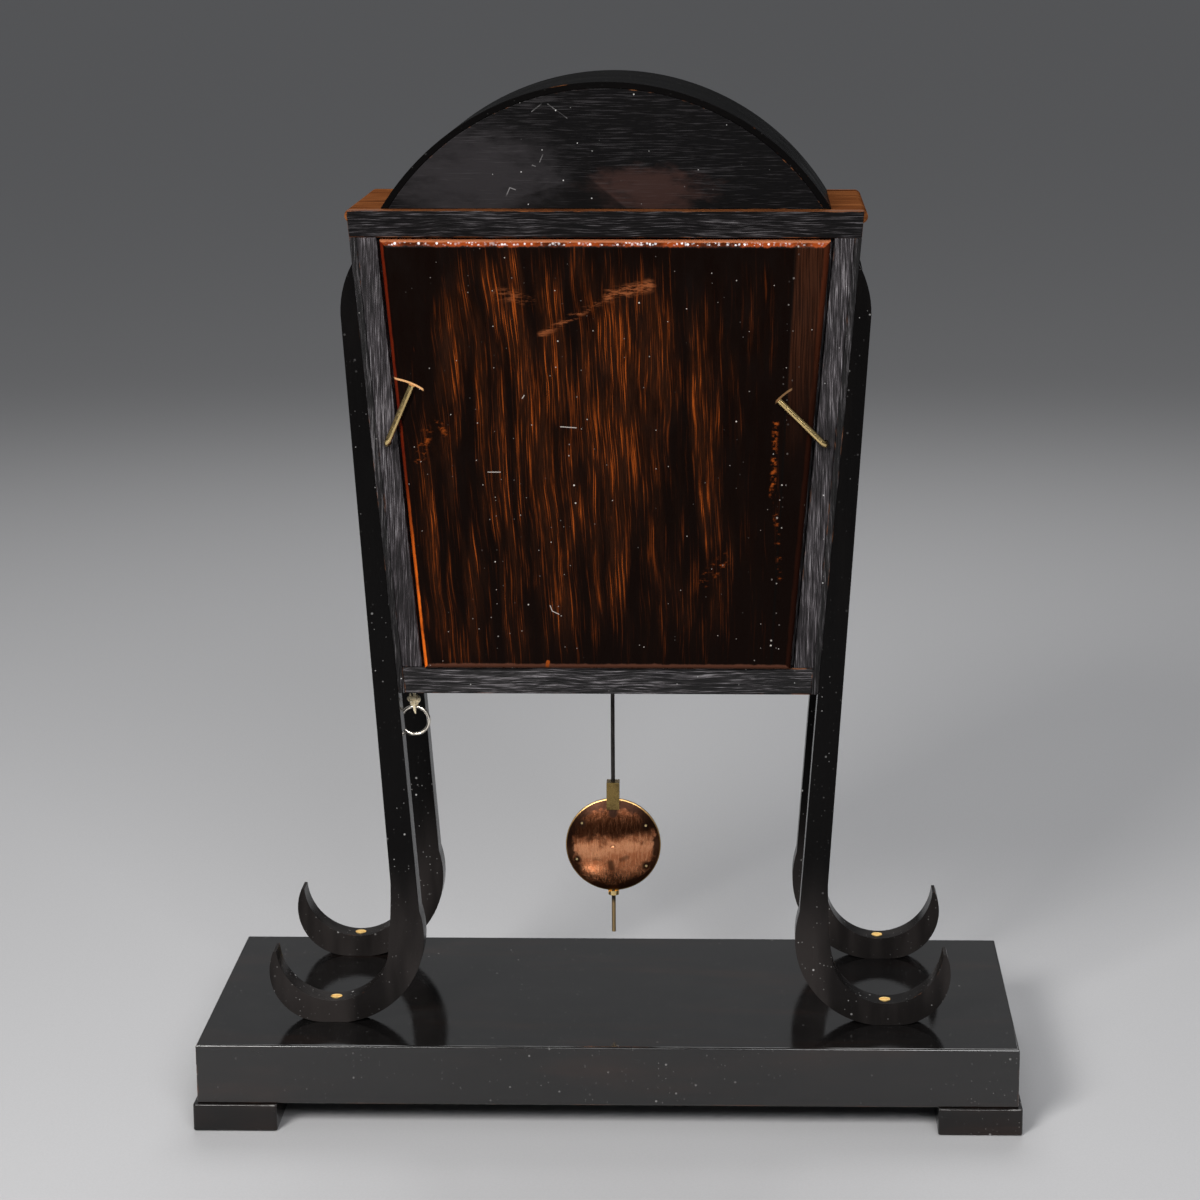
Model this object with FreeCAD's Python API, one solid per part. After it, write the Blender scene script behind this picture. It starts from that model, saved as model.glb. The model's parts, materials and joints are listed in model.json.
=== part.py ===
import FreeCAD, Part
import math
import os

# Table clock on four scrolled legs, with a movement that strikes and a cord to repeat the strike.
# Millimetres, +Z up. The dial faces -Y and the back door faces +Y.
# The origin is on the table under the middle of the plinth.
# Left and right are as seen from the front, so right is +X.

# Fits and cuts
overrun = 1.0
fit_clearance = 0.05
moving_gap = 0.3

# Plinth
plinth_width = 400.0
plinth_depth = 168.0
plinth_top_thick = 10.0
plinth_rail_height = 20.0
plinth_rail_thick = 14.0
plinth_edge_round = 1.2
block_side = 41.0
block_height = 13.5
block_proud = 2.0
block_edge_round = 1.5

# Case
case_rise = 168.0
case_height = 233.0
case_bottom_width = 203.0
case_top_width = 243.0
case_depth = 115.0
case_back_inset = 33.5
side_thick = 4.0
side_lip = 3.3
bottom_thick = 7.0
top_thick = 6.5
top_overhang = 2.0
front_thick = 8.0

# Back frame and door
frame_thick = 9.0
stile_width = 9.5
top_rail_height = 12.5
bottom_rail_height = 13.2
tongue_width = 5.0
tongue_thick = 4.0
door_proud = 4.5
door_side_gap = 1.6
door_top_gap = 1.0
door_edge_round = 3.5

# Turn catches
catch_wire = 3.0
catch_length = 31.0
catch_bend = 3.0
catch_seat = 7.0
catch_rise = 123.0
right_catch_angle = 66.3
left_catch_angle = 44.5

# Arched pediment
arch_width = 213.0
arch_height = 59.4
arch_back_inset = 10.0
arch_board_thick = 6.0
roof_thick = 3.0

# Legs
leg_depth = 13.0
leg_top_drop = 25.0
leg_shoulder_drop = 49.0
leg_shoulder_width = 8.0
leg_ankle_inset = 8.1
leg_ankle_rise = 58.0
leg_ankle_width = 13.9
leg_calf_rise = 72.0
crescent_touch = 42.6
crescent_reach = 72.6
crescent_flat = 12.0
crescent_thick = 11.2
crescent_cup_radius = 27.0
crescent_tip_rise = 36.5
crescent_tip_width = 1.5
ogive_width_share = 0.66
ogive_rise_share = 0.55
heel_shares = (0.7, 0.22)
calf_shares = (0.74, 0.5)

# Leg screws
screw_head_radius = 2.8
screw_head_height = 1.3
screw_shank_radius = 1.5
screw_depth = 7.0
screw_counterbore = 1.0
screw_slot_width = 0.7
screw_slot_depth = 0.6

# Dial and bezel
dial_radius = 78.0
dial_thick = 1.6
dial_lap = 2.0
dial_centre_radius = 4.5
winding_hole_radius = 4.5
dial_foot_radius = 1.5
dial_foot_shares = ((-0.64, -0.385), (0.64, -0.385), (0.0, 0.64))
bezel_lap = 3.0
bezel_width = 12.0
bezel_thick = 5.0
bezel_edge_round = 1.6
glass_thick = 2.0
glass_lap = 2.8
hinge_leaf_thick = 0.8
hinge_leaf_width = 9.0
hinge_height = 26.0
hinge_offset = 4.5
hinge_tab_height = 7.6
hinge_tab_thick = 2.4
hinge_bite = 2.0
knuckle_radius = 2.4
hinge_pin_radius = 1.0

# Hands
hour_hand_length = 46.0
hand_tip_gap = 10.0
hand_thick = 0.8
hand_hub_radius = 5.0
hand_root_width = 3.2
hand_tip_width = 0.8
hand_eye_radius = 4.0
hand_eye_hole_radius = 2.6
hand_eye_share = 0.72
hour_hand_gap = 2.0
hands_apart = 1.5
hour_hand_angle = 145.0
minute_hand_angle = 30.0

# Movement frame
dial_clear = 1.2
plate_thick = 2.0
train_room = 8.0
plate_width = 136.0
plate_below = 51.0
plate_above = 58.0
pillar_radius = 3.0
pillar_inset = 6.0
bracket_width = 12.0
bracket_apart = 82.0
bracket_floor_gap = 2.0
bracket_dial_gap = 5.0
bracket_thick = 6.0

# Arbors
arbor_radius = 1.2
pivot_radius = 0.8
end_shake = 0.3

# Barrels
barrel_angle = 59.1
barrel_step = 3.8
barrel_length = 14.0
barrel_end_gap = 1.5
great_thick = 2.5
great_module = 0.8
great_teeth = 72
winding_radius = 3.0
winding_pivot_radius = 2.0
winding_square = 4.0
winding_reach = 1.0

# Wheels of the going train
wheel_thick = 1.5
train_module = 0.5
centre_leaves = 9
centre_teeth = 96
third_leaves = 8
third_teeth = 80
escape_leaves = 8
escape_teeth = 30
escape_radius = 13.0
escape_tooth_depth = 2.6
leaf_spare = 0.7
third_angle = 42.0
centre_layer = 4.0
third_layer = 1.0
escape_layer = 8.5
wheel_hole_share = 0.27
wheel_hole_place_share = 0.56
wheel_holes = 4

# Motion work
motion_module = 0.7
cannon_teeth = 12
minute_teeth = 36
minute_leaves = 10
hour_teeth = 40
cannon_radius = 2.2
hour_tube_wall = 0.9
motion_layer = 1.5

# Tooth shapes, as shares of the module and of the tooth spacing
wheel_addendum_share = 0.85
wheel_dedendum_share = 1.15
wheel_root_share = 0.46
wheel_tip_share = 0.18
leaf_addendum_share = 0.7
leaf_dedendum_share = 1.3
leaf_root_share = 0.38
leaf_tip_share = 0.16
escape_lean_share = 0.35

# Anchor and crutch
anchor_distance_share = 1.414
pallet_clear = 1.6
pallet_width = 2.4
pallet_thick = 1.5
pallet_root = 1.6
pallet_span_angle = 45.0
crutch_length = 56.0
crutch_width = 3.0
crutch_thick = 1.6
crutch_gap = 1.0
fork_wall = 1.5
fork_length = 6.0

# Pendulum
pendulum_gap = 15.0
bob_rise = 76.8
pendulum_swing = 4.0
rod_radius = 1.0
stirrup_width = 15.0
stirrup_height = 22.0
stirrup_bar = 2.0
stirrup_depth = 4.0
knife_height = 3.5
knife_width = 5.0
bob_radius = 24.0
bob_thick = 12.0
bob_rim = 1.6
bob_pin_radius = 0.7
bob_pin_proud = 0.5
bob_pin_share = 0.82
bob_pin_angles = (37.0, 147.0, 212.0, 339.0)
ferrule_width = 6.4
ferrule_depth = 7.0
ferrule_height = 14.0
ferrule_sink = 5.0
nut_width = 5.6
nut_height = 2.2
tip_drop = 46.0

# Suspension cock
cock_width = 36.0
cock_foot_width = 6.0
cock_height = 12.0
cock_bar_thick = 4.0
cock_bar_gap = 6.0
cock_arm_width = 5.0
cock_arm_height = 8.0
cock_arm_reach = 10.0

# Striking train
pin_leaves = 8
pin_teeth = 80
fly_leaves = 8
pin_angle = 108.6
fly_angle = 60.0
pin_count = 8
pin_radius = 0.8
pin_place_share = 0.62
fly_width = 22.0
fly_length = 14.0
fly_thick = 1.0

# Hammer and gong
hammer_beside = 24.0
hammer_rise = 24.0
hammer_gap = 4.4
hammer_arm_width = 3.0
hammer_arm_thick = 3.0
hammer_head_radius = 4.0
hammer_head_length = 8.0
hammer_tail_gap = 1.0
hammer_tail_width = 2.0
gong_wire = 3.2
gong_gap = 15.0
gong_start_radius = 10.0
gong_pitch = 7.5
gong_half_turns = 8
gong_drop = 43.0
gong_lead = 5.0
gong_block_height = 4.0
gong_post_width = 12.0
gong_post_depth = 6.0
gong_foot_width = 26.0
gong_foot_height = 5.0

# Repeat work
cord_wire = 1.4
cord_inset = 6.0
cord_hole_radius = 1.5
cord_drop = 12.0
knot_radius = 3.05
knot_rise = 2.6
eye_clear = 0.45
ring_wire = 1.7
ring_radius = 6.95
cord_back_inset = 16.5
lever_pivot_rise = 33.5
lever_arm = 35.0
lever_front = 26.0
lever_tilt = 9.8
lever_thick = 2.0
lever_width = 5.0
lever_pin_radius = 2.0
lever_bracket_width = 14.0
lever_bracket_thick = 3.0
lever_foot_length = 9.0
lever_foot_height = 3.0

# Pendulum slot in the case's bottom board
slot_spare = 2.5
slot_width = 9.0

# Levels worked out from the sizes above
plinth_rail_top = block_height + plinth_rail_height
plinth_top = plinth_rail_top + plinth_top_thick
case_bottom = plinth_top + case_rise
case_top = case_bottom + case_height
case_back = plinth_depth / 2 - case_back_inset
case_front = case_back - case_depth
case_slope = (case_top_width - case_bottom_width) / 2 / case_height
board_back = case_front + front_thick
frame_front = case_back - frame_thick
top_underside = case_top - top_thick
frame_top = case_top - top_rail_height
frame_bottom = case_bottom + bottom_rail_height
tongue_face = frame_front + tongue_thick
door_face = case_back + door_proud
dial_z = (case_bottom + case_top) / 2
dial_back = board_back + dial_thick
opening_radius = dial_radius - dial_lap
minute_hand_length = opening_radius - hand_tip_gap
motion_gap = 2 * (motion_layer + wheel_thick) + leaf_spare + dial_clear
front_plate_front = dial_back + motion_gap
front_plate_back = front_plate_front + plate_thick
plate_gap = barrel_end_gap + barrel_length + great_thick + train_room
back_plate_front = front_plate_back + plate_gap
back_plate_back = back_plate_front + plate_thick
pendulum_y = back_plate_back + pendulum_gap
gong_y = pendulum_y + gong_gap


def half_width(z):
    """Half the width of the case at a height."""
    return case_bottom_width / 2 + case_slope * (z - case_bottom)


def around(place, distance, angle):
    """A place at a distance and an angle from another one, on the plane of the plates."""
    turn = math.radians(angle)
    return place[0] + distance * math.cos(turn), place[1] + distance * math.sin(turn)


def spacing(first, second, module):
    """Distance between the centres of two wheels in mesh."""
    return module * (first + second) / 2


# Places of the arbors, as X and Z
centre = (0.0, dial_z)
barrel_distance = spacing(great_teeth, centre_leaves, great_module)
barrel_radius = great_module * great_teeth / 2 - barrel_step
going = around(centre, barrel_distance, barrel_angle - 90.0)
strike = around(centre, barrel_distance, -barrel_angle - 90.0)
third = around(centre, spacing(centre_teeth, third_leaves, train_module), third_angle)
escape_distance = spacing(third_teeth, escape_leaves, train_module)
escape = (0.0, third[1] + math.sqrt(escape_distance ** 2 - third[0] ** 2))
anchor_place = (0.0, escape[1] + escape_radius * anchor_distance_share)
pin_place = around(strike, spacing(great_teeth, pin_leaves, great_module), pin_angle)
fly_place = around(pin_place, spacing(pin_teeth, fly_leaves, train_module), fly_angle)
hammer_place = (pin_place[0] - hammer_beside, dial_z + hammer_rise)
hammer_arm_length = hammer_rise + gong_drop
motion_distance = spacing(cannon_teeth, minute_teeth, motion_module)
minute_place = (0.0, dial_z + motion_distance)
hour_module = 2 * motion_distance / (minute_leaves + hour_teeth)
bob_z = plinth_top + bob_rise
gong_reach = gong_start_radius + gong_pitch * gong_half_turns / 2 + gong_wire / 2
gong_x = hammer_place[0] + hammer_head_length / 2 + hammer_gap + gong_reach
gong_place = (gong_x, dial_z - gong_drop)

# Layers between the plates, front and back of each wheel
strike_great = (front_plate_back + barrel_end_gap, front_plate_back + barrel_end_gap + great_thick)
strike_drum = (strike_great[1], strike_great[1] + barrel_length)
going_drum = (front_plate_back + barrel_end_gap, front_plate_back + barrel_end_gap + barrel_length)
going_great = (going_drum[1], going_drum[1] + great_thick)
centre_wheel_layer = (back_plate_front - centre_layer - wheel_thick, back_plate_front - centre_layer)
third_wheel_layer = (back_plate_front - third_layer - wheel_thick, back_plate_front - third_layer)
escape_wheel_layer = (back_plate_front - escape_layer - wheel_thick, back_plate_front - escape_layer)
minute_wheel_layer = (front_plate_front - motion_layer - wheel_thick, front_plate_front - motion_layer)
hour_wheel_layer = (minute_wheel_layer[0] - motion_layer - wheel_thick, minute_wheel_layer[0] - motion_layer)

# Hands in front of the dial, inside the opening of the front board
hour_hand_back = board_back - hour_hand_gap
hour_hand_front = hour_hand_back - hand_thick
minute_hand_back = hour_hand_front - hands_apart
minute_hand_front = minute_hand_back - hand_thick

# Pull cord, ring and lever
cord_x = half_width(case_bottom) - cord_inset
lever_pivot_z = case_bottom + lever_pivot_rise
lever_rise = math.radians(lever_tilt)
cord_y = case_back - cord_back_inset
lever_pivot_y = cord_y - lever_arm * math.cos(lever_rise)
lever_end_z = lever_pivot_z + lever_arm * math.sin(lever_rise)
cord_top = lever_end_z - lever_width / 2 / math.cos(lever_rise) - moving_gap
knot_z = case_bottom - knot_rise - knot_radius
eye_radius = ring_wire / 2 + eye_clear + cord_wire / 2
eye_z = knot_z - knot_radius - eye_radius
ring_z = eye_z - ring_radius


def box(x_ends, y_ends, z_ends):
    low = FreeCAD.Vector(min(x_ends), min(y_ends), min(z_ends))
    sides = [max(ends) - min(ends) for ends in (x_ends, y_ends, z_ends)]
    return Part.makeBox(sides[0], sides[1], sides[2], low)


def rod_x(y, z, radius, ends):
    start = FreeCAD.Vector(min(ends), y, z)
    return Part.makeCylinder(radius, max(ends) - min(ends), start, FreeCAD.Vector(1, 0, 0))


def rod_y(place, radius, ends):
    start = FreeCAD.Vector(place[0], min(ends), place[1])
    return Part.makeCylinder(radius, max(ends) - min(ends), start, FreeCAD.Vector(0, 1, 0))


def rod_z(x, y, radius, ends):
    start = FreeCAD.Vector(x, y, min(ends))
    return Part.makeCylinder(radius, max(ends) - min(ends), start, FreeCAD.Vector(0, 0, 1))


def flat(point, y):
    return FreeCAD.Vector(point[0], y, point[1])


def slab(points, y_ends):
    """A flat board with straight edges, drawn in X and Z and given its thickness along Y."""
    corners = [flat(point, min(y_ends)) for point in points]
    face = Part.Face(Part.makePolygon(corners + corners[:1]))
    return face.extrude(FreeCAD.Vector(0, max(y_ends) - min(y_ends), 0))


def curved_slab(edges, y_ends):
    """A flat board with lines (two points) and arcs (three points), drawn in X and Z."""
    pieces = []
    for points in edges:
        corners = [flat(point, min(y_ends)) for point in points]
        curve = Part.LineSegment(*corners) if len(corners) == 2 else Part.Arc(*corners)
        pieces.append(curve.toShape())
    face = Part.Face(Part.Wire(pieces))
    return face.extrude(FreeCAD.Vector(0, max(y_ends) - min(y_ends), 0))


def taper(inset, z_ends, y_ends):
    """A board across the case whose ends follow the slope of its sides, inset from their outside."""
    low, high = min(z_ends), max(z_ends)
    points = [(-half_width(low) + inset, low), (half_width(low) - inset, low)]
    points += [(half_width(high) - inset, high), (-half_width(high) + inset, high)]
    return slab(points, y_ends)


def leaning(side, insets, z_ends, y_ends):
    """An upright board that follows the slope of one side of the case."""
    low, high = min(z_ends), max(z_ends)
    points = [(side * (half_width(low) - insets[0]), low), (side * (half_width(low) - insets[1]), low)]
    points += [(side * (half_width(high) - insets[1]), high), (side * (half_width(high) - insets[0]), high)]
    return slab(points, y_ends)


def mirrored(shape):
    return shape.mirror(FreeCAD.Vector(0, 0, 0), FreeCAD.Vector(1, 0, 0))


def joined(pieces):
    return pieces[0].multiFuse(pieces[1:]).removeSplitter()


# Plinth

def plinth_top_board():
    x_ends = (-plinth_width / 2, plinth_width / 2)
    board = box(x_ends, (-plinth_depth / 2, plinth_depth / 2), (plinth_rail_top, plinth_top))
    high = [edge for edge in board.Edges if edge.BoundBox.ZMin > plinth_top - plinth_edge_round]
    board = board.makeFillet(plinth_edge_round, high)
    for place in screw_places():
        ends = (plinth_top - screw_depth, plinth_top + overrun)
        board = board.cut(rod_z(place[0], place[1], screw_shank_radius + fit_clearance, ends))
    return board


def plinth_long_rail(side):
    y_ends = (side * plinth_depth / 2, side * (plinth_depth / 2 - plinth_rail_thick))
    return box((-plinth_width / 2, plinth_width / 2), y_ends, (block_height, plinth_rail_top))


def plinth_end_rail(side):
    x_ends = (side * plinth_width / 2, side * (plinth_width / 2 - plinth_rail_thick))
    reach = plinth_depth / 2 - plinth_rail_thick
    return box(x_ends, (-reach, reach), (block_height, plinth_rail_top))


def block_feet():
    feet = []
    for x_side in (-1, 1):
        for y_side in (-1, 1):
            x_out = plinth_width / 2 + block_proud
            y_out = plinth_depth / 2 + block_proud
            x_ends = (x_side * x_out, x_side * (x_out - block_side))
            y_ends = (y_side * y_out, y_side * (y_out - block_side))
            block = box(x_ends, y_ends, (0.0, block_height))
            upright = [edge for edge in block.Edges if edge.BoundBox.ZLength > block_height / 2]
            feet.append(block.makeFillet(block_edge_round, upright))
    return Part.Compound(feet)


# Legs

ankle_x = half_width(case_bottom) - leg_ankle_inset
touch_x = ankle_x + crescent_touch
tip_x = ankle_x + crescent_reach
front_leg_ends = (case_front, case_front + leg_depth)
rear_leg_ends = (case_back - leg_depth, case_back)


def leg_outline():
    """Right leg: crescent foot, ankle, calf against the case and a pointed top."""
    top_z = case_top - leg_top_drop
    shoulder_z = case_top - leg_shoulder_drop
    top = (half_width(top_z), top_z)
    shoulder = (half_width(shoulder_z) + leg_shoulder_width, shoulder_z)
    ogive_z = shoulder_z + ogive_rise_share * (top_z - shoulder_z)
    ogive = (half_width(ogive_z) + ogive_width_share * leg_shoulder_width, ogive_z)
    corner = (half_width(case_bottom), case_bottom)
    ankle = (ankle_x, plinth_top + leg_ankle_rise)
    heel_flat = (touch_x - crescent_flat / 2, plinth_top)
    toe_flat = (touch_x + crescent_flat / 2, plinth_top)
    heel_x = heel_flat[0] - heel_shares[0] * (heel_flat[0] - ankle_x)
    heel = (heel_x, plinth_top + heel_shares[1] * leg_ankle_rise)
    tip = (tip_x, plinth_top + crescent_tip_rise)
    toe_run = tip_x - toe_flat[0]
    toe_radius = (toe_run ** 2 + crescent_tip_rise ** 2) / (2 * crescent_tip_rise)
    toe_turn = (math.atan2(crescent_tip_rise - toe_radius, toe_run) - math.pi / 2) / 2
    toe_x = toe_flat[0] + toe_radius * math.cos(toe_turn)
    toe = (toe_x, plinth_top + toe_radius * (1 + math.sin(toe_turn)))
    tip_inside = (tip_x - crescent_tip_width, plinth_top + crescent_tip_rise)
    cup = (touch_x, plinth_top + crescent_thick)
    cup_side = (touch_x - crescent_cup_radius, cup[1] + crescent_cup_radius)
    calf = (ankle_x + leg_ankle_width, plinth_top + leg_calf_rise)
    shin_x = calf[0] + (1 - calf_shares[0]) * (cup_side[0] - calf[0])
    shin = (shin_x, cup_side[1] + calf_shares[1] * (calf[1] - cup_side[1]))
    outline = [(top, corner), (corner, ankle), (ankle, heel, heel_flat), (heel_flat, toe_flat)]
    outline += [(toe_flat, toe, tip), (tip, tip_inside), (tip_inside, cup, cup_side)]
    outline += [(cup_side, shin, calf), (calf, shoulder), (shoulder, ogive, top)]
    return outline


def leg(x_side, y_ends):
    shape = curved_slab(leg_outline(), y_ends)
    seat = plinth_top + crescent_thick - screw_counterbore
    y = (y_ends[0] + y_ends[1]) / 2
    hole = rod_z(touch_x, y, screw_shank_radius + fit_clearance, (plinth_top - overrun, seat + overrun))
    head = rod_z(touch_x, y, screw_head_radius + fit_clearance, (seat, seat + crescent_cup_radius))
    shape = shape.cut(hole).cut(head)
    return shape if x_side > 0 else mirrored(shape)


def screw_places():
    middles = [sum(ends) / 2 for ends in (front_leg_ends, rear_leg_ends)]
    return [(side * touch_x, y) for side in (-1, 1) for y in middles]


def leg_screws():
    screws = []
    seat = plinth_top + crescent_thick - screw_counterbore
    for x, y in screw_places():
        shank = rod_z(x, y, screw_shank_radius, (plinth_top - screw_depth, seat))
        head = rod_z(x, y, screw_head_radius, (seat, seat + screw_head_height))
        slot_low = seat + screw_head_height - screw_slot_depth
        x_ends = (x - screw_head_radius - overrun, x + screw_head_radius + overrun)
        y_ends = (y - screw_slot_width / 2, y + screw_slot_width / 2)
        slot = box(x_ends, y_ends, (slot_low, seat + screw_head_height + overrun))
        screws.append(joined([shank, head]).cut(slot))
    return Part.Compound(screws)


# Case

def case_side(side):
    board = leaning(side, (0.0, side_thick), (case_bottom, top_underside), (board_back, case_back))
    y_ends = (frame_front, case_back + overrun)
    rebate = leaning(side, (side_lip, side_thick + overrun), (case_bottom - overrun, frame_top), y_ends)
    notch = leaning(side, (-overrun, side_thick + overrun), (frame_top, case_top), y_ends)
    return board.cut(rebate).cut(notch)


def case_bottom_board():
    z_ends = (case_bottom, case_bottom + bottom_thick)
    board = taper(side_thick, z_ends, (board_back, frame_front))
    cut_ends = (z_ends[0] - overrun, z_ends[1] + overrun)
    swing = (anchor_place[1] - case_bottom) * math.tan(math.radians(pendulum_swing))
    reach = swing + rod_radius + slot_spare
    y_ends = (pendulum_y - slot_width / 2, pendulum_y + slot_width / 2)
    slot = box((-reach, reach), y_ends, cut_ends)
    return board.cut(slot).cut(rod_z(cord_x, cord_y, cord_hole_radius, cut_ends))


def case_top_board():
    reach = half_width(case_top) + top_overhang
    board = box((-reach, reach), (case_front - top_overhang, frame_front), (top_underside, case_top))
    ends = [edge for edge in board.Edges if edge.BoundBox.YLength > case_depth / 2]
    return board.makeFillet(top_thick / 2 - fit_clearance, ends)


def front_board():
    board = taper(0.0, (case_bottom, top_underside), (case_front, board_back))
    return board.cut(rod_y(centre, opening_radius, (case_front - overrun, board_back + overrun)))


# Back frame, door and catches

def top_rail():
    return taper(0.0, (frame_top, case_top), (frame_front, case_back))


def bottom_rail():
    return taper(side_lip, (case_bottom, frame_bottom), (frame_front, case_back))


def stile(side):
    z_ends = (frame_bottom, frame_top)
    outer = leaning(side, (side_lip, side_lip + stile_width), z_ends, (frame_front, case_back))
    inset = side_lip + stile_width
    tongue = leaning(side, (inset, inset + tongue_width), z_ends, (frame_front, tongue_face))
    place = catch_place(side)
    hole = rod_y(place, catch_wire / 2 + fit_clearance, (case_back - catch_seat, case_back + overrun))
    return joined([outer, tongue]).cut(hole)


def back_door():
    inset = side_lip + stile_width + door_side_gap
    board = taper(inset, (frame_bottom, frame_top - door_top_gap), (tongue_face, door_face))
    rim = [edge for edge in board.Edges if edge.BoundBox.YMin > door_face - door_edge_round]
    return board.makeFillet(door_edge_round, rim)


def catch_place(side):
    z = case_bottom + catch_rise
    return side * (half_width(z) - side_lip - stile_width / 2), z


def catch(side, angle):
    """Brass wire that stands out of the stile, bends and lies over the door."""
    x, z = catch_place(side)
    arm_y = door_face + moving_gap + catch_wire / 2
    lean = FreeCAD.Vector(-side * math.cos(math.radians(angle)), 0, math.sin(math.radians(angle)))
    bend_start = FreeCAD.Vector(x, arm_y - catch_bend, z)
    bend_end = FreeCAD.Vector(x, arm_y, z) + lean * catch_bend
    half = math.radians(45)
    inner = bend_start + lean * catch_bend
    bend_middle = inner - lean * catch_bend * math.cos(half)
    bend_middle = bend_middle + FreeCAD.Vector(0, catch_bend * math.sin(half), 0)
    root = FreeCAD.Vector(x, case_back - catch_seat + moving_gap, z)
    end = FreeCAD.Vector(x, arm_y, z) + lean * catch_length
    path = Part.Wire([
        Part.LineSegment(root, bend_start).toShape(),
        Part.Arc(bend_start, bend_middle, bend_end).toShape(),
        Part.LineSegment(bend_end, end).toShape(),
    ])
    section = Part.Wire(Part.makeCircle(catch_wire / 2, root, FreeCAD.Vector(0, 1, 0)))
    return path.makePipeShell([section], True, False)


# Arched pediment

arch_ends = (case_front, case_back - arch_back_inset)


def segment(shrink, y_ends):
    """A round-topped board standing on the case, its arc shrunk by a wall."""
    radius = ((arch_width / 2) ** 2 + arch_height ** 2) / (2 * arch_height)
    low = case_top - (radius - arch_height)
    disc = rod_y((0.0, low), radius - shrink, y_ends)
    x_ends = (-radius, radius)
    floor = box(x_ends, (y_ends[0] - overrun, y_ends[1] + overrun), (low - radius, case_top))
    return disc.cut(floor)


def arch_back():
    return segment(roof_thick, (arch_ends[1] - arch_board_thick, arch_ends[1]))


def arch_front():
    return segment(roof_thick, (arch_ends[0], arch_ends[0] + front_thick))


def arch_roof():
    inside = segment(roof_thick, (arch_ends[0] - overrun, arch_ends[1] + overrun))
    return segment(0.0, arch_ends).cut(inside)


# Dial, bezel and hands

def dial():
    disc = rod_y(centre, dial_radius, (board_back, dial_back))
    cut_ends = (board_back - overrun, dial_back + overrun)
    disc = disc.cut(rod_y(centre, dial_centre_radius, cut_ends))
    for place in (going, strike):
        disc = disc.cut(rod_y(place, winding_hole_radius, cut_ends))
    feet = []
    for shares in dial_foot_shares:
        place = (shares[0] * dial_radius, dial_z + shares[1] * dial_radius)
        feet.append(rod_y(place, dial_foot_radius, (dial_back, front_plate_front)))
    return joined([disc] + feet)


bezel_back = case_front - moving_gap
bezel_front = bezel_back - bezel_thick
bezel_inner = opening_radius - bezel_lap
bezel_outer = bezel_inner + bezel_width
glass_radius = bezel_inner + glass_lap
hinge_x = -(bezel_outer + hinge_offset)
hinge_y = case_front - hinge_leaf_thick - knuckle_radius - moving_gap


def bezel_ring():
    ring = rod_y(centre, bezel_outer, (bezel_front, bezel_back))
    ring = ring.cut(rod_y(centre, bezel_inner, (bezel_front - overrun, bezel_back + overrun)))
    front = [edge for edge in ring.Edges if edge.BoundBox.YMax < bezel_front + bezel_edge_round]
    ring = ring.makeFillet(bezel_edge_round, front)
    seat = glass_radius + fit_clearance
    ring = ring.cut(rod_y(centre, seat, (bezel_back - glass_thick - glass_thick / 2, bezel_back + overrun)))
    z_ends = (dial_z - hinge_tab_height / 2, dial_z + hinge_tab_height / 2)
    y_ends = (hinge_y - hinge_tab_thick / 2, hinge_y + hinge_tab_thick / 2)
    tab = box((hinge_x, -bezel_outer + hinge_bite), y_ends, z_ends)
    knuckle = rod_z(hinge_x, hinge_y, knuckle_radius, z_ends)
    cut_ends = (z_ends[0] - overrun, z_ends[1] + overrun)
    bore = rod_z(hinge_x, hinge_y, hinge_pin_radius + fit_clearance, cut_ends)
    return joined([ring, tab, knuckle]).cut(bore)


def bezel_glass():
    front = bezel_back - glass_thick - glass_thick / 2
    return rod_y(centre, glass_radius, (front, front + glass_thick))


def bezel_hinge():
    low, high = dial_z - hinge_height / 2, dial_z + hinge_height / 2
    middle = hinge_tab_height / 2 + moving_gap
    leaf_x = (hinge_x - hinge_leaf_width, hinge_x + knuckle_radius)
    pieces = [box(leaf_x, (case_front - hinge_leaf_thick, case_front), (low, high))]
    for z_ends in ((low, dial_z - middle), (dial_z + middle, high)):
        web = (hinge_x - knuckle_radius, hinge_x + knuckle_radius)
        pieces.append(box(web, (hinge_y, case_front - hinge_leaf_thick), z_ends))
        pieces.append(rod_z(hinge_x, hinge_y, knuckle_radius, z_ends))
    pieces.append(rod_z(hinge_x, hinge_y, hinge_pin_radius, (low, high)))
    return joined(pieces)


def hand(length, angle, bore, y_ends):
    """A tapered pointer with a round hub and an open eye near its tip."""
    turn = math.radians(angle)
    along = (math.cos(turn), math.sin(turn))
    across = (-along[1], along[0])

    def spot(reach, off):
        return (reach * along[0] + off * across[0], dial_z + reach * along[1] + off * across[1])

    points = [spot(0.0, -hand_root_width / 2), spot(length, -hand_tip_width / 2)]
    points += [spot(length, hand_tip_width / 2), spot(0.0, hand_root_width / 2)]
    eye = spot(hand_eye_share * length, 0.0)
    pieces = [slab(points, y_ends), rod_y(centre, hand_hub_radius, y_ends)]
    pieces.append(rod_y(eye, hand_eye_radius, y_ends))
    cut_ends = (y_ends[0] - overrun, y_ends[1] + overrun)
    shape = joined(pieces).cut(rod_y(eye, hand_eye_hole_radius, cut_ends))
    return shape.cut(rod_y(centre, bore, cut_ends))


hour_bore = cannon_radius + fit_clearance
hour_tube_radius = hour_bore + hour_tube_wall


def hour_hand():
    ends = (hour_hand_front, hour_hand_back)
    return hand(hour_hand_length, hour_hand_angle, hour_tube_radius + fit_clearance, ends)


def minute_hand():
    ends = (minute_hand_front, minute_hand_back)
    return hand(minute_hand_length, minute_hand_angle, cannon_radius + fit_clearance, ends)


# Movement frame

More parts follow.
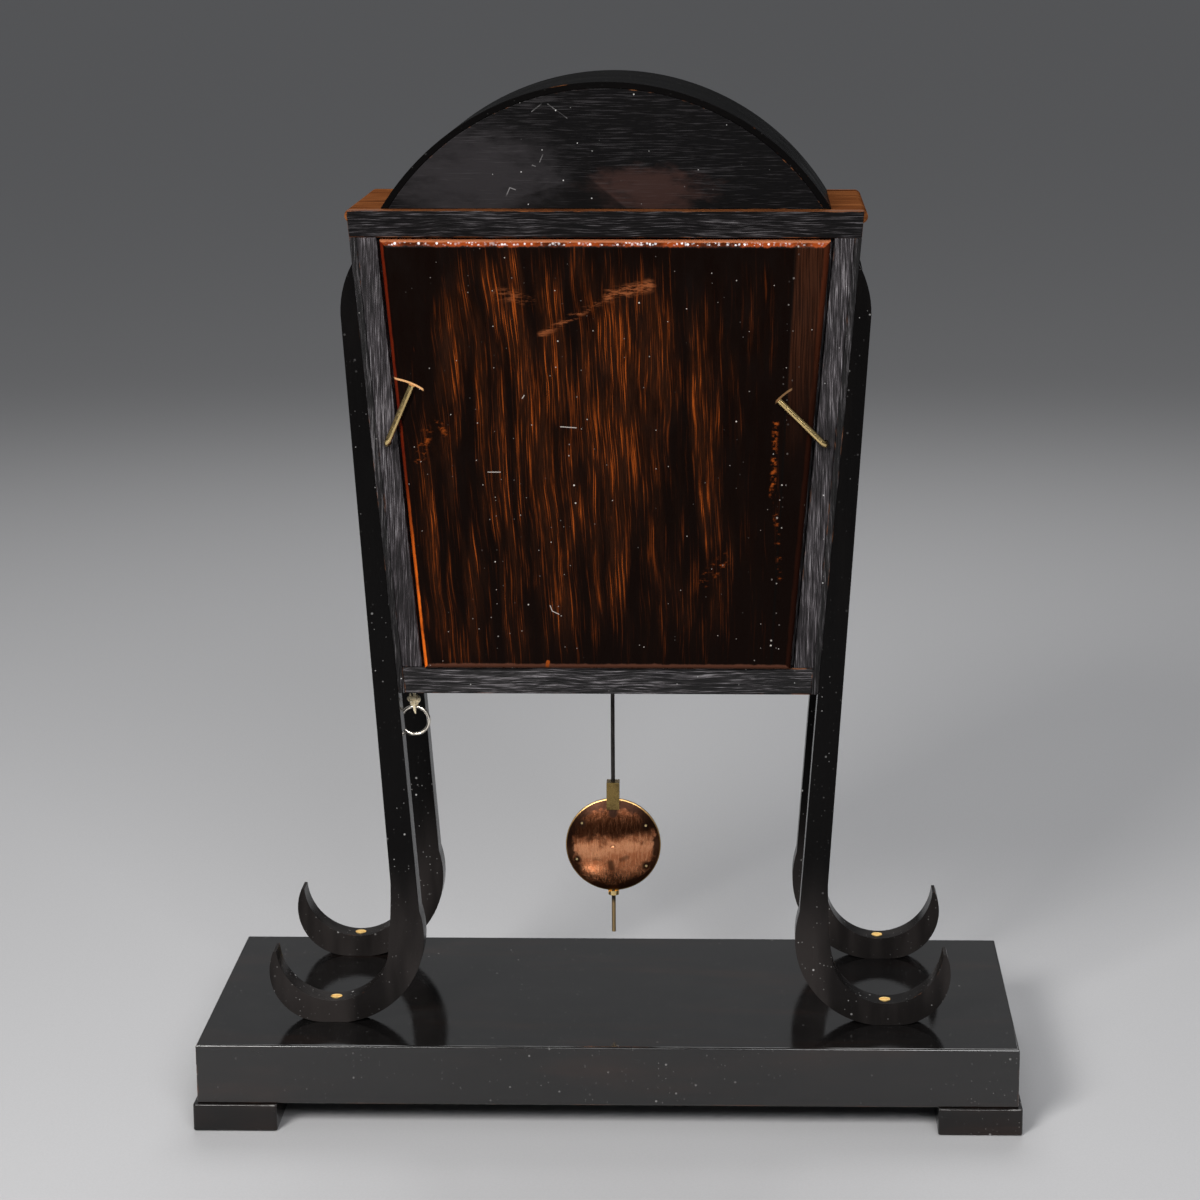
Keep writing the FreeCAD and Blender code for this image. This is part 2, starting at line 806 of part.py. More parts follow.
def plate(y_ends, holes):
    z_ends = (dial_z - plate_below, dial_z + plate_above)
    shape = box((-plate_width / 2, plate_width / 2), y_ends, z_ends)
    for place, radius in holes:
        shape = shape.cut(rod_y(place, radius + fit_clearance, (y_ends[0] - overrun, y_ends[1] + overrun)))
    return shape


small_pivots = [third, escape, pin_place, fly_place]


def front_plate():
    holes = [(place, pivot_radius) for place in small_pivots + [anchor_place, hammer_place]]
    holes += [(going, winding_radius), (strike, winding_radius), (centre, arbor_radius)]
    holes += [(minute_place, pivot_radius)]
    return plate((front_plate_front, front_plate_back), holes)


def back_plate():
    holes = [(place, pivot_radius) for place in small_pivots + [centre]]
    holes += [(going, winding_pivot_radius), (strike, winding_pivot_radius)]
    holes += [(anchor_place, arbor_radius), (hammer_place, arbor_radius)]
    return plate((back_plate_front, back_plate_back), holes)


def plate_pillars():
    posts = []
    for side in (-1, 1):
        for z in (dial_z - plate_below + pillar_inset, dial_z + plate_above - pillar_inset):
            place = (side * (plate_width / 2 - pillar_inset), z)
            posts.append(rod_y(place, pillar_radius, (front_plate_back, back_plate_front)))
    return Part.Compound(posts)


def movement_brackets():
    """Two angle pieces that carry the front plate on the front board, below the dial."""
    brackets = []
    plate_low = dial_z - plate_below
    for side in (-1, 1):
        x_ends = (side * (bracket_apart - bracket_width) / 2, side * (bracket_apart + bracket_width) / 2)
        upright_y = (front_plate_back - bracket_thick, front_plate_back)
        floor = case_bottom + bottom_thick
        foot_z = (floor + bracket_floor_gap, dial_z - dial_radius - bracket_dial_gap)
        upright = box(x_ends, upright_y, (foot_z[0], plate_low))
        foot = box(x_ends, (board_back, upright_y[1]), foot_z)
        brackets.append(joined([upright, foot]))
    return Part.Compound(brackets)


# Wheels and arbors

def toothed(place, teeth, module, turn, y_ends, leaf=False):
    """A wheel or pinion with straight-sided teeth, one of them pointing along the turn angle."""
    addendum = leaf_addendum_share if leaf else wheel_addendum_share
    dedendum = leaf_dedendum_share if leaf else wheel_dedendum_share
    root_share = leaf_root_share if leaf else wheel_root_share
    tip_share = leaf_tip_share if leaf else wheel_tip_share
    pitch_radius = teeth * module / 2
    tip_radius = pitch_radius + addendum * module
    root_radius = pitch_radius - dedendum * module
    step = 360.0 / teeth
    points = []
    for tooth in range(teeth):
        angle = turn + tooth * step
        points.append(around(place, root_radius, angle - root_share * step / 2))
        points.append(around(place, tip_radius, angle - tip_share * step / 2))
        points.append(around(place, tip_radius, angle + tip_share * step / 2))
        points.append(around(place, root_radius, angle + root_share * step / 2))
    return slab(points, y_ends)


def bearing(first, second):
    """Direction from one arbor to another, in degrees."""
    return math.degrees(math.atan2(second[1] - first[1], second[0] - first[0]))


def wheel(place, teeth, module, mate, y_ends):
    """A wheel with a tooth on the line to its mate, and round holes to lighten it."""
    shape = toothed(place, teeth, module, bearing(place, mate), y_ends)
    radius = teeth * module / 2
    cut_ends = (y_ends[0] - overrun, y_ends[1] + overrun)
    for hole in range(wheel_holes):
        spot = around(place, wheel_hole_place_share * radius, hole * 360.0 / wheel_holes)
        shape = shape.cut(rod_y(spot, wheel_hole_share * radius, cut_ends))
    return shape


def pinion(place, leaves, module, mate, y_ends):
    """A pinion with a gap between leaves on the line to its mate."""
    turn = bearing(place, mate) + 180.0 / leaves
    return toothed(place, leaves, module, turn, (y_ends[0] - leaf_spare, y_ends[1] + leaf_spare), True)


def arbor(place):
    """A steel arbor between the plates, with a thinner pivot in each plate."""
    body = rod_y(place, arbor_radius, (front_plate_back + end_shake, back_plate_front - end_shake))
    return body.fuse(rod_y(place, pivot_radius, (front_plate_front, back_plate_back)))


def barrel(place, mate, drum_ends, great_ends):
    drum = rod_y(place, barrel_radius, drum_ends)
    great = toothed(place, great_teeth, great_module, bearing(place, mate), great_ends)
    ends = (min(drum_ends + great_ends) - overrun, max(drum_ends + great_ends) + overrun)
    return joined([drum, great]).cut(rod_y(place, winding_radius + fit_clearance, ends))


def going_barrel():
    return barrel(going, centre, going_drum, going_great)


def strike_barrel():
    return barrel(strike, pin_place, strike_drum, strike_great)


def winding_arbor(place):
    body = rod_y(place, winding_radius, (front_plate_front, back_plate_front - end_shake))
    pivot = rod_y(place, winding_pivot_radius, (back_plate_front - end_shake, back_plate_back))
    x_ends = (place[0] - winding_square / 2, place[0] + winding_square / 2)
    z_ends = (place[1] - winding_square / 2, place[1] + winding_square / 2)
    square = box(x_ends, (board_back - winding_reach, front_plate_front), z_ends)
    return joined([body, pivot, square])


def centre_wheel():
    """Centre arbor with its pinion and wheel, and the cannon that carries the minute hand."""
    body = rod_y(centre, arbor_radius, (front_plate_front - end_shake, back_plate_front - end_shake))
    pivot = rod_y(centre, pivot_radius, (back_plate_front - end_shake, back_plate_back))
    cannon = rod_y(centre, cannon_radius, (minute_hand_front, front_plate_front - end_shake))
    cannon_pinion = pinion(centre, cannon_teeth, motion_module, minute_place, minute_wheel_layer)
    leaves = pinion(centre, centre_leaves, great_module, going, going_great)
    rim = wheel(centre, centre_teeth, train_module, third, centre_wheel_layer)
    return joined([body, pivot, cannon, cannon_pinion, leaves, rim])


def third_wheel():
    leaves = pinion(third, third_leaves, train_module, centre, centre_wheel_layer)
    rim = wheel(third, third_teeth, train_module, escape, third_wheel_layer)
    return joined([arbor(third), leaves, rim])


def escape_wheel():
    leaves = pinion(escape, escape_leaves, train_module, third, third_wheel_layer)
    step = 360.0 / escape_teeth
    points = []
    for tooth in range(escape_teeth):
        angle = tooth * step
        points.append(around(escape, escape_radius - escape_tooth_depth, angle))
        points.append(around(escape, escape_radius, angle + escape_lean_share * step))
    return joined([arbor(escape), leaves, slab(points, escape_wheel_layer)])


def minute_wheel():
    rim = wheel(minute_place, minute_teeth, motion_module, centre, minute_wheel_layer)
    leaves = pinion(minute_place, minute_leaves, hour_module, centre, hour_wheel_layer)
    stud = rod_y(minute_place, pivot_radius, (hour_wheel_layer[1], front_plate_back))
    collar = rod_y(minute_place, arbor_radius, (minute_wheel_layer[1], front_plate_front - end_shake))
    return joined([rim, leaves, stud, collar])


def hour_wheel():
    rim = toothed(centre, hour_teeth, hour_module, bearing(centre, minute_place), hour_wheel_layer)
    tube = rod_y(centre, hour_tube_radius, (hour_hand_front, hour_wheel_layer[1]))
    bore = rod_y(centre, hour_bore, (hour_hand_front - overrun, hour_wheel_layer[1] + overrun))
    return joined([rim, tube]).cut(bore)


crutch_ends = (back_plate_back + crutch_gap, back_plate_back + crutch_gap + crutch_thick)


def anchor():
    """Pallets over the escape wheel, and the crutch behind the back plate."""
    body_back = crutch_ends[0] + crutch_thick / 2
    body = rod_y(anchor_place, arbor_radius, (front_plate_back + end_shake, body_back))
    pivot = rod_y(anchor_place, pivot_radius, (front_plate_front, front_plate_back + end_shake))
    y_ends = (escape_wheel_layer[0] - pallet_thick / 2, escape_wheel_layer[1] + pallet_thick / 2)
    pieces = [body, pivot]
    for side in (-1, 1):
        reach = escape_radius + pallet_clear
        tip = around(escape, reach, 90.0 - side * pallet_span_angle)
        outer = around(escape, reach + pallet_width, 90.0 - side * pallet_span_angle)
        high = anchor_place[1] + pallet_root / 2
        low = anchor_place[1] - pallet_root / 2
        pieces.append(slab([(0.0, high), outer, tip, (0.0, low)], y_ends))
    x_ends = (-crutch_width / 2, crutch_width / 2)
    low = anchor_place[1] - crutch_length
    pieces.append(box(x_ends, crutch_ends, (low, anchor_place[1] + crutch_width / 2)))
    wall = (rod_radius + moving_gap, rod_radius + moving_gap + fork_wall)
    z_ends = (low, low + crutch_width)
    pieces.append(box((-wall[1], wall[1]), crutch_ends, z_ends))
    for side in (-1, 1):
        prong = (side * wall[0], side * wall[1])
        pieces.append(box(prong, (crutch_ends[0], pendulum_y + fork_length / 2), z_ends))
    return joined(pieces)


pins_radius = pin_place_share * pin_teeth * train_module / 2
pins_front = centre_wheel_layer[1] + moving_gap


def pin_wheel():
    leaves = pinion(pin_place, pin_leaves, great_module, strike, strike_great)
    rim = wheel(pin_place, pin_teeth, train_module, fly_place, third_wheel_layer)
    pins = []
    for pin in range(pin_count):
        spot = around(pin_place, pins_radius, (pin + 0.5) * 360.0 / pin_count)
        pins.append(rod_y(spot, pin_radius, (pins_front, third_wheel_layer[0])))
    return joined([arbor(pin_place), leaves, rim] + pins)


def fly():
    leaves = pinion(fly_place, fly_leaves, train_module, pin_place, third_wheel_layer)
    x_ends = (fly_place[0] - fly_width / 2, fly_place[0] + fly_width / 2)
    z_ends = (fly_place[1] - fly_thick / 2, fly_place[1] + fly_thick / 2)
    start = front_plate_back + barrel_end_gap
    vane = box(x_ends, (start, start + fly_length), z_ends)
    return joined([arbor(fly_place), leaves, vane])


def hammer():
    """Hammer on a long arbor that reaches back to the gong, with a tail beside the pin wheel."""
    y_ends = (gong_y - hammer_arm_thick / 2, gong_y + hammer_arm_thick / 2)
    pivot = rod_y(hammer_place, pivot_radius, (front_plate_front, front_plate_back + end_shake))
    body = rod_y(hammer_place, arbor_radius, (front_plate_back + end_shake, y_ends[1]))
    x, z = hammer_place
    arm = box((x - hammer_arm_width / 2, x + hammer_arm_width / 2), y_ends, (z - hammer_arm_length, z))
    head_ends = (x - hammer_head_length / 2, x + hammer_head_length / 2)
    head = rod_x(gong_y, z - hammer_arm_length, hammer_head_radius, head_ends)
    toward = bearing(hammer_place, pin_place)
    pins_reach = pins_radius + pin_radius + hammer_tail_gap
    away = math.dist(hammer_place, pin_place)
    tail_ends = (pins_front, third_wheel_layer[0] - moving_gap)
    tip = around(hammer_place, away - pins_reach, toward)
    side = around((0.0, 0.0), hammer_tail_width / 2, toward + 90.0)
    points = [(x + side[0], z + side[1]), (tip[0] + side[0], tip[1] + side[1])]
    points += [(tip[0] - side[0], tip[1] - side[1]), (x - side[0], z - side[1])]
    return joined([pivot, body, arm, head, slab(points, tail_ends)])


def gong():
    """Flat coil of steel wire, half turn by half turn, with a straight inner end in its block."""
    x, z = gong_place
    left = x - gong_start_radius
    edges = []
    radius = gong_start_radius
    start = left
    for half in range(gong_half_turns):
        side = 1 if half % 2 == 0 else -1
        middle_x = start + side * radius
        end = start + 2 * side * radius
        corners = [(start, z), (middle_x, z + side * radius), (end, z)]
        edges.append(Part.Arc(*[flat(point, gong_y) for point in corners]).toShape())
        start = end
        radius += gong_pitch / 2
    lead = flat((left, z - gong_lead), gong_y)
    edges.insert(0, Part.LineSegment(lead, flat((left, z), gong_y)).toShape())
    section = Part.Wire(Part.makeCircle(gong_wire / 2, lead, FreeCAD.Vector(0, 0, 1)))
    return Part.Wire(edges).makePipeShell([section], True, False)


def gong_stand():
    """Iron foot and post behind the coil, with a block that grips the coil's inner end."""
    x, z = gong_place
    lead_x = x - gong_start_radius
    floor = case_bottom + bottom_thick
    post_front = gong_y + gong_wire / 2 + moving_gap
    post_y = (post_front, post_front + gong_post_depth)
    foot_x = (lead_x - gong_foot_width / 2, lead_x + gong_foot_width / 2)
    foot_y = (gong_y - gong_wire, post_y[1])
    lead_end = z - gong_lead
    block_top = lead_end + gong_wire
    block_z = (block_top - gong_block_height, block_top)
    post_x = (lead_x - gong_post_width / 2, lead_x + gong_post_width / 2)
    block_x = (lead_x - gong_wire, lead_x + gong_wire)
    block = box(block_x, (gong_y - gong_wire, post_y[1]), block_z)
    socket_ends = (lead_end - fit_clearance, block_top + overrun)
    socket = rod_z(lead_x, gong_y, gong_wire / 2 + fit_clearance, socket_ends)
    foot = box(foot_x, foot_y, (floor, floor + gong_foot_height))
    post = box(post_x, post_y, (floor, block_top))
    return joined([foot, post, block]).cut(socket)


# Pendulum and its suspension

def suspension_cock():
    """Bridge behind the back plate, with an arm whose top edge carries the knife edge."""
    high = anchor_place[1] - fit_clearance
    low = high - cock_height
    bar_y = (back_plate_back + cock_bar_gap, back_plate_back + cock_bar_gap + cock_bar_thick)
    pieces = [box((-cock_width / 2, cock_width / 2), bar_y, (low, high))]
    for side in (-1, 1):
        x_ends = (side * cock_width / 2, side * (cock_width / 2 - cock_foot_width))
        pieces.append(box(x_ends, (back_plate_back, bar_y[0]), (low, high)))
    arm_x = (-cock_arm_width / 2, cock_arm_width / 2)
    pieces.append(box(arm_x, (bar_y[1], bar_y[1] + cock_arm_reach), (high - cock_arm_height, high)))
    return joined(pieces)


def pendulum_rod():
    """Stirrup with a knife edge over the cock's arm, then the rod down to its threaded tip."""
    axis_z = anchor_place[1]
    y_ends = (pendulum_y - stirrup_depth / 2, pendulum_y + stirrup_depth / 2)
    knife_top = axis_z + knife_height
    knife = slab([(0.0, axis_z), (knife_width / 2, knife_top), (-knife_width / 2, knife_top)], y_ends)
    half = stirrup_width / 2
    low = knife_top + stirrup_bar - stirrup_height
    pieces = [knife, box((-half, half), y_ends, (knife_top, knife_top + stirrup_bar))]
    for side in (-1, 1):
        pieces.append(box((side * half, side * (half - stirrup_bar)), y_ends, (low, knife_top)))
    pieces.append(box((-half, half), y_ends, (low, low + stirrup_bar)))
    pieces.append(rod_z(0.0, pendulum_y, rod_radius, (bob_z - tip_drop, low + stirrup_bar / 2)))
    return joined(pieces)


def pendulum_bob():
    """Lens of two shallow domes with a flat rim, four pins near the rim and a bore for the rod."""
    dome = (bob_thick - bob_rim) / 2
    radius = (bob_radius ** 2 + dome ** 2) / (2 * dome)
    place = (0.0, bob_z)
    ends = []
    domes = []
    for side in (-1, 1):
        pole = FreeCAD.Vector(0, pendulum_y + side * bob_thick / 2, bob_z)
        halfway = radius - math.sqrt(radius ** 2 - (bob_radius / 2) ** 2)
        shoulder = FreeCAD.Vector(bob_radius / 2, pendulum_y + side * (bob_thick / 2 - halfway), bob_z)
        edge = FreeCAD.Vector(bob_radius, pendulum_y + side * bob_rim / 2, bob_z)
        domes.append(Part.Arc(pole, shoulder, edge).toShape())
        ends.append((pole, edge))
    rim = Part.LineSegment(ends[0][1], ends[1][1]).toShape()
    axis = Part.LineSegment(ends[1][0], ends[0][0]).toShape()
    profile = Part.Face(Part.Wire(Part.sortEdges([domes[0], rim, domes[1], axis])[0]))
    lens = profile.revolve(FreeCAD.Vector(0, pendulum_y, bob_z), FreeCAD.Vector(0, 1, 0), 360)
    pins = []
    reach = bob_pin_share * bob_radius
    sag = radius - math.sqrt(radius ** 2 - reach ** 2)
    face = pendulum_y + bob_thick / 2 - sag
    for angle in bob_pin_angles:
        pins.append(rod_y(around(place, reach, angle), bob_pin_radius, (pendulum_y, face + bob_pin_proud)))
    cut_ends = (bob_z - bob_radius - overrun, bob_z + bob_radius + overrun)
    bore = rod_z(0.0, pendulum_y, rod_radius + fit_clearance, cut_ends)
    lens = joined([lens] + pins).cut(bore)
    return lens.cut(ferrule_block(fit_clearance))


def ferrule_block(spare):
    low = bob_z + bob_radius - ferrule_sink - spare
    x_ends = (-ferrule_width / 2 - spare, ferrule_width / 2 + spare)
    y_ends = (pendulum_y - ferrule_depth / 2 - spare, pendulum_y + ferrule_depth / 2 + spare)
    return box(x_ends, y_ends, (low, low + spare + ferrule_height))


def bob_ferrule():
    block = ferrule_block(0.0)
    ends = (block.BoundBox.ZMin - overrun, block.BoundBox.ZMax + overrun)
    return block.cut(rod_z(0.0, pendulum_y, rod_radius + fit_clearance, ends))


def rating_nut():
    high = bob_z - bob_radius - fit_clearance
    nut = rod_z(0.0, pendulum_y, nut_width / 2, (high - nut_height, high))
    ends = (high - nut_height - overrun, high + overrun)
    return nut.cut(rod_z(0.0, pendulum_y, rod_radius + fit_clearance, ends))


# Repeat work

def repeat_cord():
    """Cord from the lever down to its knot, and the eye that holds the ring."""
    line = rod_z(cord_x, cord_y, cord_wire / 2, (knot_z, cord_top))
    knot = Part.makeSphere(knot_radius, FreeCAD.Vector(cord_x, cord_y, knot_z))
    middle = FreeCAD.Vector(cord_x, cord_y, eye_z)
    eye = Part.makeTorus(eye_radius, cord_wire / 2, middle, FreeCAD.Vector(1, 0, 0))
    neck = rod_z(cord_x, cord_y, cord_wire / 2, (eye_z + eye_radius, knot_z))
    return joined([knot, line, neck, eye])


def pull_ring():
    middle = FreeCAD.Vector(cord_x, cord_y, ring_z)
    return Part.makeTorus(ring_radius, ring_wire / 2, middle, FreeCAD.Vector(0, 1, 0))


def repeat_lever():
    """Lever that the cord pulls down at its back end, so its front end lifts the strike work."""
    x_ends = (cord_x - lever_thick / 2, cord_x + lever_thick / 2)
    y_ends = (lever_pivot_y - lever_front, lever_pivot_y + lever_arm + lever_width / 2)
    z_ends = (lever_pivot_z - lever_width / 2, lever_pivot_z + lever_width / 2)
    bar = box(x_ends, y_ends, z_ends)
    boss = rod_x(lever_pivot_y, lever_pivot_z, lever_width, x_ends)
    cut_ends = (x_ends[0] - overrun, x_ends[1] + overrun)
    hole = rod_x(lever_pivot_y, lever_pivot_z, lever_pin_radius + fit_clearance, cut_ends)
    shape = joined([bar, boss]).cut(hole)
    pivot = FreeCAD.Vector(cord_x, lever_pivot_y, lever_pivot_z)
    shape.rotate(pivot, FreeCAD.Vector(1, 0, 0), lever_tilt)
    return shape


def repeat_bracket():
    floor = case_bottom + bottom_thick
    y_ends = (lever_pivot_y - lever_bracket_width / 2, lever_pivot_y + lever_bracket_width / 2)
    inner = cord_x - lever_thick / 2 - moving_gap
    x_ends = (inner - lever_bracket_thick, inner)
    upright = box(x_ends, y_ends, (floor, lever_pivot_z + lever_bracket_width / 2))
    foot = box((x_ends[0] - lever_foot_length, inner), y_ends, (floor, floor + lever_foot_height))
    pin = rod_x(lever_pivot_y, lever_pivot_z, lever_pin_radius, (x_ends[0], cord_x + lever_thick))
    return joined([upright, foot, pin])


nodes = {
    "plinth_top": plinth_top_board(),
    "plinth_front_rail": plinth_long_rail(-1),
    "plinth_back_rail": plinth_long_rail(1),
    "plinth_left_rail": plinth_end_rail(-1),
    "plinth_right_rail": plinth_end_rail(1),
    "block_feet": block_feet(),
    "front_left_leg": leg(-1, front_leg_ends),
    "front_right_leg": leg(1, front_leg_ends),
    "rear_left_leg": leg(-1, rear_leg_ends),
    "rear_right_leg": leg(1, rear_leg_ends),
    "leg_screws": leg_screws(),
    "case_left_side": case_side(-1),
    "case_right_side": case_side(1),
    "case_bottom": case_bottom_board(),
    "case_top": case_top_board(),
    "front_board": front_board(),
    "top_rail": top_rail(),
    "bottom_rail": bottom_rail(),
    "left_stile": stile(-1),
    "right_stile": stile(1),
    "back_door": back_door(),
    "left_catch": catch(-1, left_catch_angle),
    "right_catch": catch(1, right_catch_angle),
    "arch_back": arch_back(),
    "arch_front": arch_front(),
    "arch_roof": arch_roof(),
    "dial": dial(),
    "bezel_ring": bezel_ring(),
    "bezel_glass": bezel_glass(),
    "bezel_hinge": bezel_hinge(),
    "hour_hand": hour_hand(),
    "minute_hand": minute_hand(),
    "front_plate": front_plate(),
    "back_plate": back_plate(),
    "plate_pillars": plate_pillars(),
    "movement_brackets": movement_brackets(),
    "going_barrel": going_barrel(),
    "going_arbor": winding_arbor(going),
    "strike_barrel": strike_barrel(),
    "strike_arbor": winding_arbor(strike),
    "centre_wheel": centre_wheel(),
    "third_wheel": third_wheel(),
    "escape_wheel": escape_wheel(),
    "minute_wheel": minute_wheel(),
    "hour_wheel": hour_wheel(),
    "anchor": anchor(),
    "pin_wheel": pin_wheel(),
    "fly": fly(),
    "hammer": hammer(),
    "gong": gong(),
    "gong_stand": gong_stand(),
    "suspension_cock": suspension_cock(),
    "pendulum_rod": pendulum_rod(),
    "pendulum_bob": pendulum_bob(),
    "bob_ferrule": bob_ferrule(),
    "rating_nut": rating_nut(),
    "repeat_cord": repeat_cord(),
    "pull_ring": pull_ring(),
    "repeat_lever": repeat_lever(),
    "repeat_bracket": repeat_bracket(),
}

os.makedirs("parts", exist_ok=True)
for name, shape in nodes.items():
    shape.exportStep("parts/" + name + ".step")
    print(name, shape.isValid(), len(shape.Solids), round(shape.Volume, 1))
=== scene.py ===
import bpy
import bmesh
import json
import math
from mathutils import Matrix, Vector


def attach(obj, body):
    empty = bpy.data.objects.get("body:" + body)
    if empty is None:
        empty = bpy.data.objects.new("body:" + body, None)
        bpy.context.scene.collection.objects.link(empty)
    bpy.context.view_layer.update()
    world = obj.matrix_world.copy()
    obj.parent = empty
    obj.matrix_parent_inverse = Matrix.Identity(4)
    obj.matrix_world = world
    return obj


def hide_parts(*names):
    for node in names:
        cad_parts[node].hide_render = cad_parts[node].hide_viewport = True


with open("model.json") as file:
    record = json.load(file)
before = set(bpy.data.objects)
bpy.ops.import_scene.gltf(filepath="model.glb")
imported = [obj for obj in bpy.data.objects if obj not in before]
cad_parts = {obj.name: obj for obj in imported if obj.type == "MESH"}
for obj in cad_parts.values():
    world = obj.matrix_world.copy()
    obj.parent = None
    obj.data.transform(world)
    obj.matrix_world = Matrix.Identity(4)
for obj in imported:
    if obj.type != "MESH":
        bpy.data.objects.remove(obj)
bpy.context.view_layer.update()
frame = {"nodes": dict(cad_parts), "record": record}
nodes = frame["nodes"]
bodies = frame["record"]["behaviour"]["bodies"]
bodyOf = {node: body for body, group in bodies.items() for node in group}
scene = bpy.context.scene
scene.view_settings.view_transform = "Standard"


def placed(name, data):
    piece = bpy.data.objects.new(name, data)
    scene.collection.objects.link(piece)
    return piece


def evaluatedMesh(piece):
    depsgraph = bpy.context.evaluated_depsgraph_get()
    return bpy.data.meshes.new_from_object(piece.evaluated_get(depsgraph))


def shadeSmooth(mesh):
    mesh.polygons.foreach_set("use_smooth", [True] * len(mesh.polygons))


# camera, as the photograph was taken: from behind, a little above

cameraLook = {
    "place": (-0.0683, 1.5585, 0.5874),
    "pitch": 12.311,  # degrees down
    "yaw": 0.974,  # degrees towards +X
    "sensor": 36.0,
    "lens": 96.4,
    "shiftX": -0.08,
    "clip": (0.01, 200.0),
}


def makeCamera(look):
    data = bpy.data.cameras.new("photoCamera")
    data.sensor_width = look["sensor"]
    data.lens = look["lens"]
    data.shift_x = look["shiftX"]
    data.clip_start, data.clip_end = look["clip"]
    camera = placed("photoCamera", data)
    pitch, yaw = math.radians(look["pitch"]), math.radians(look["yaw"])
    level = math.cos(pitch)
    aim = Vector((math.sin(yaw) * level, -math.cos(yaw) * level, -math.sin(pitch)))
    camera.location = look["place"]
    camera.rotation_euler = aim.to_track_quat("-Z", "Y").to_euler()
    scene.camera = camera


makeCamera(cameraLook)
print("camera set")


# pull cord: straight down from the repeat lever to its knot

cordLook = {
    "top": (0.0955, 0.0340, 0.24812),
    "knot": (0.0955, 0.0340, 0.2039),
    "eye": (0.0955, 0.0340, 0.2008),  # where the ring hangs
    "thick": 0.0014,
    "strand": 0.00074,
    "knotReach": 0.00102,
    "knotDepth": 0.0012,
    "knotLump": 0.16,
    "knotHeight": 0.78,  # share of its width
    "heartShift": 0.0009,
    "heartHalf": (0.0011, 0.0006, 0.0010),
    "eyeReach": 0.0020 * 1.02,
    "eyeTwist": 0.00018,
    # frayed end that stands up on the outer side: points from the knot, and share of thickness there
    "tail": (((0.0018, 0.0006, 0.0012), 1.0), ((0.0022, 0.0012, 0.0032), 0.7),
             ((0.0016, 0.0012, 0.0050), 0.12)),
    # the end that hangs, from the eye
    "stub": (((0.0, 0.0019, -0.0006), 0.9), ((-0.0002, 0.0017, -0.0020), 0.8),
             ((-0.0006, 0.0014, -0.0032), 0.45)),
}


def splineOf(name, points, thick, closed=False):
    curve = bpy.data.curves.new(name, "CURVE")
    curve.dimensions = "3D"
    # the thickness is in the points' own radius, because a curve's box is padded by that
    curve.bevel_depth = 1.0
    curve.bevel_resolution = 3
    curve.resolution_u = 6
    curve.use_fill_caps = True
    line = curve.splines.new("NURBS")
    line.points.add(len(points) - 1)
    for spot, point in zip(line.points, points):
        spot.co = (*point, 1.0)
        spot.radius = thick / 2
    line.order_u = 3
    if closed:
        line.use_cyclic_u = True
    else:
        line.use_endpoint_u = True
    return placed(name, curve)


def looseEnd(name, origin, stops, thick):
    points = [tuple(a + b for a, b in zip(origin, step)) for step, share in stops]
    piece = splineOf(name, points, thick)
    for spot, (step, share) in zip(piece.data.splines[0].points, stops):
        spot.radius *= share
    return piece


def asMesh(piece):
    # a finished mesh in the curve's place
    mesh = evaluatedMesh(piece)
    name, curve = piece.name, piece.data
    bpy.data.objects.remove(piece)
    bpy.data.curves.remove(curve)
    return placed(name, mesh)


def joinMeshes(name, pieces):
    work = bmesh.new()
    for piece in pieces:
        work.from_mesh(piece.data)
        bpy.data.objects.remove(piece)
    mesh = bpy.data.meshes.new(name)
    bmesh.ops.recalc_face_normals(work, faces=work.faces)
    work.to_mesh(mesh)
    work.free()
    shadeSmooth(mesh)
    return placed(name, mesh)


def turnsOf(count):
    return [2 * math.pi * step / count for step in range(count)]


def makeCord(look):
    thick, strand = look["thick"], 2 * look["strand"]
    cord = splineOf("pullCord", [look["top"], look["knot"]], thick)
    knotX, knotY, knotZ = look["knot"]
    loops = []
    for turn in turnsOf(18):
        lump = look["knotReach"] * (1.0 + look["knotLump"] * math.sin(2.0 * turn + 0.7))
        rise = look["knotHeight"] * look["knotReach"]
        loops.append((knotX + lump * (math.sin(turn) + 2 * math.sin(2 * turn)),
                      knotY - look["knotDepth"] * math.sin(3 * turn),
                      knotZ + rise * (math.cos(turn) - 2 * math.cos(2 * turn))))
    knot = splineOf("knotLoops", loops, strand * 1.12, True)
    halfX, halfY, halfZ = look["heartHalf"]
    points = [(knotX + look["heartShift"] + halfX * math.cos(turn), knotY + halfY * math.sin(2 * turn),
               knotZ + halfZ * math.sin(turn)) for turn in turnsOf(8)]
    heart = splineOf("knotHeart", points, strand * 1.15, True)
    tail = looseEnd("knotTail", look["knot"], look["tail"], thick)
    eyeX, eyeY, eyeZ = look["eye"]
    points = [(eyeX + look["eyeTwist"] * math.sin(2 * turn), eyeY + look["eyeReach"] * math.cos(turn),
               eyeZ + look["eyeReach"] * math.sin(turn)) for turn in turnsOf(10)]
    loop = splineOf("knotLoop", points, strand * 0.95, True)
    stub = looseEnd("knotStub", look["eye"], look["stub"], thick)
    bpy.context.view_layer.update()
    return cord, joinMeshes("cordKnot", [asMesh(part) for part in (knot, heart, tail, loop, stub)])


cord, cordKnot = makeCord(cordLook)
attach(cord, "pull")
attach(cordKnot, "pull")
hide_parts("repeat_cord")
print("cord made")


# small helpers for material trees

def newMaterial(name):
    material = bpy.data.materials.new(name)
    material.use_nodes = True
    tree = material.node_tree
    tree.nodes.clear()
    output = tree.nodes.new("ShaderNodeOutputMaterial")
    shader = tree.nodes.new("ShaderNodeBsdfPrincipled")
    tree.links.new(shader.outputs[0], output.inputs[0])
    return material, tree, shader


def plug(tree, socket, value):
    if isinstance(value, bpy.types.NodeSocket):
        tree.links.new(value, socket)
    else:
        socket.default_value = value


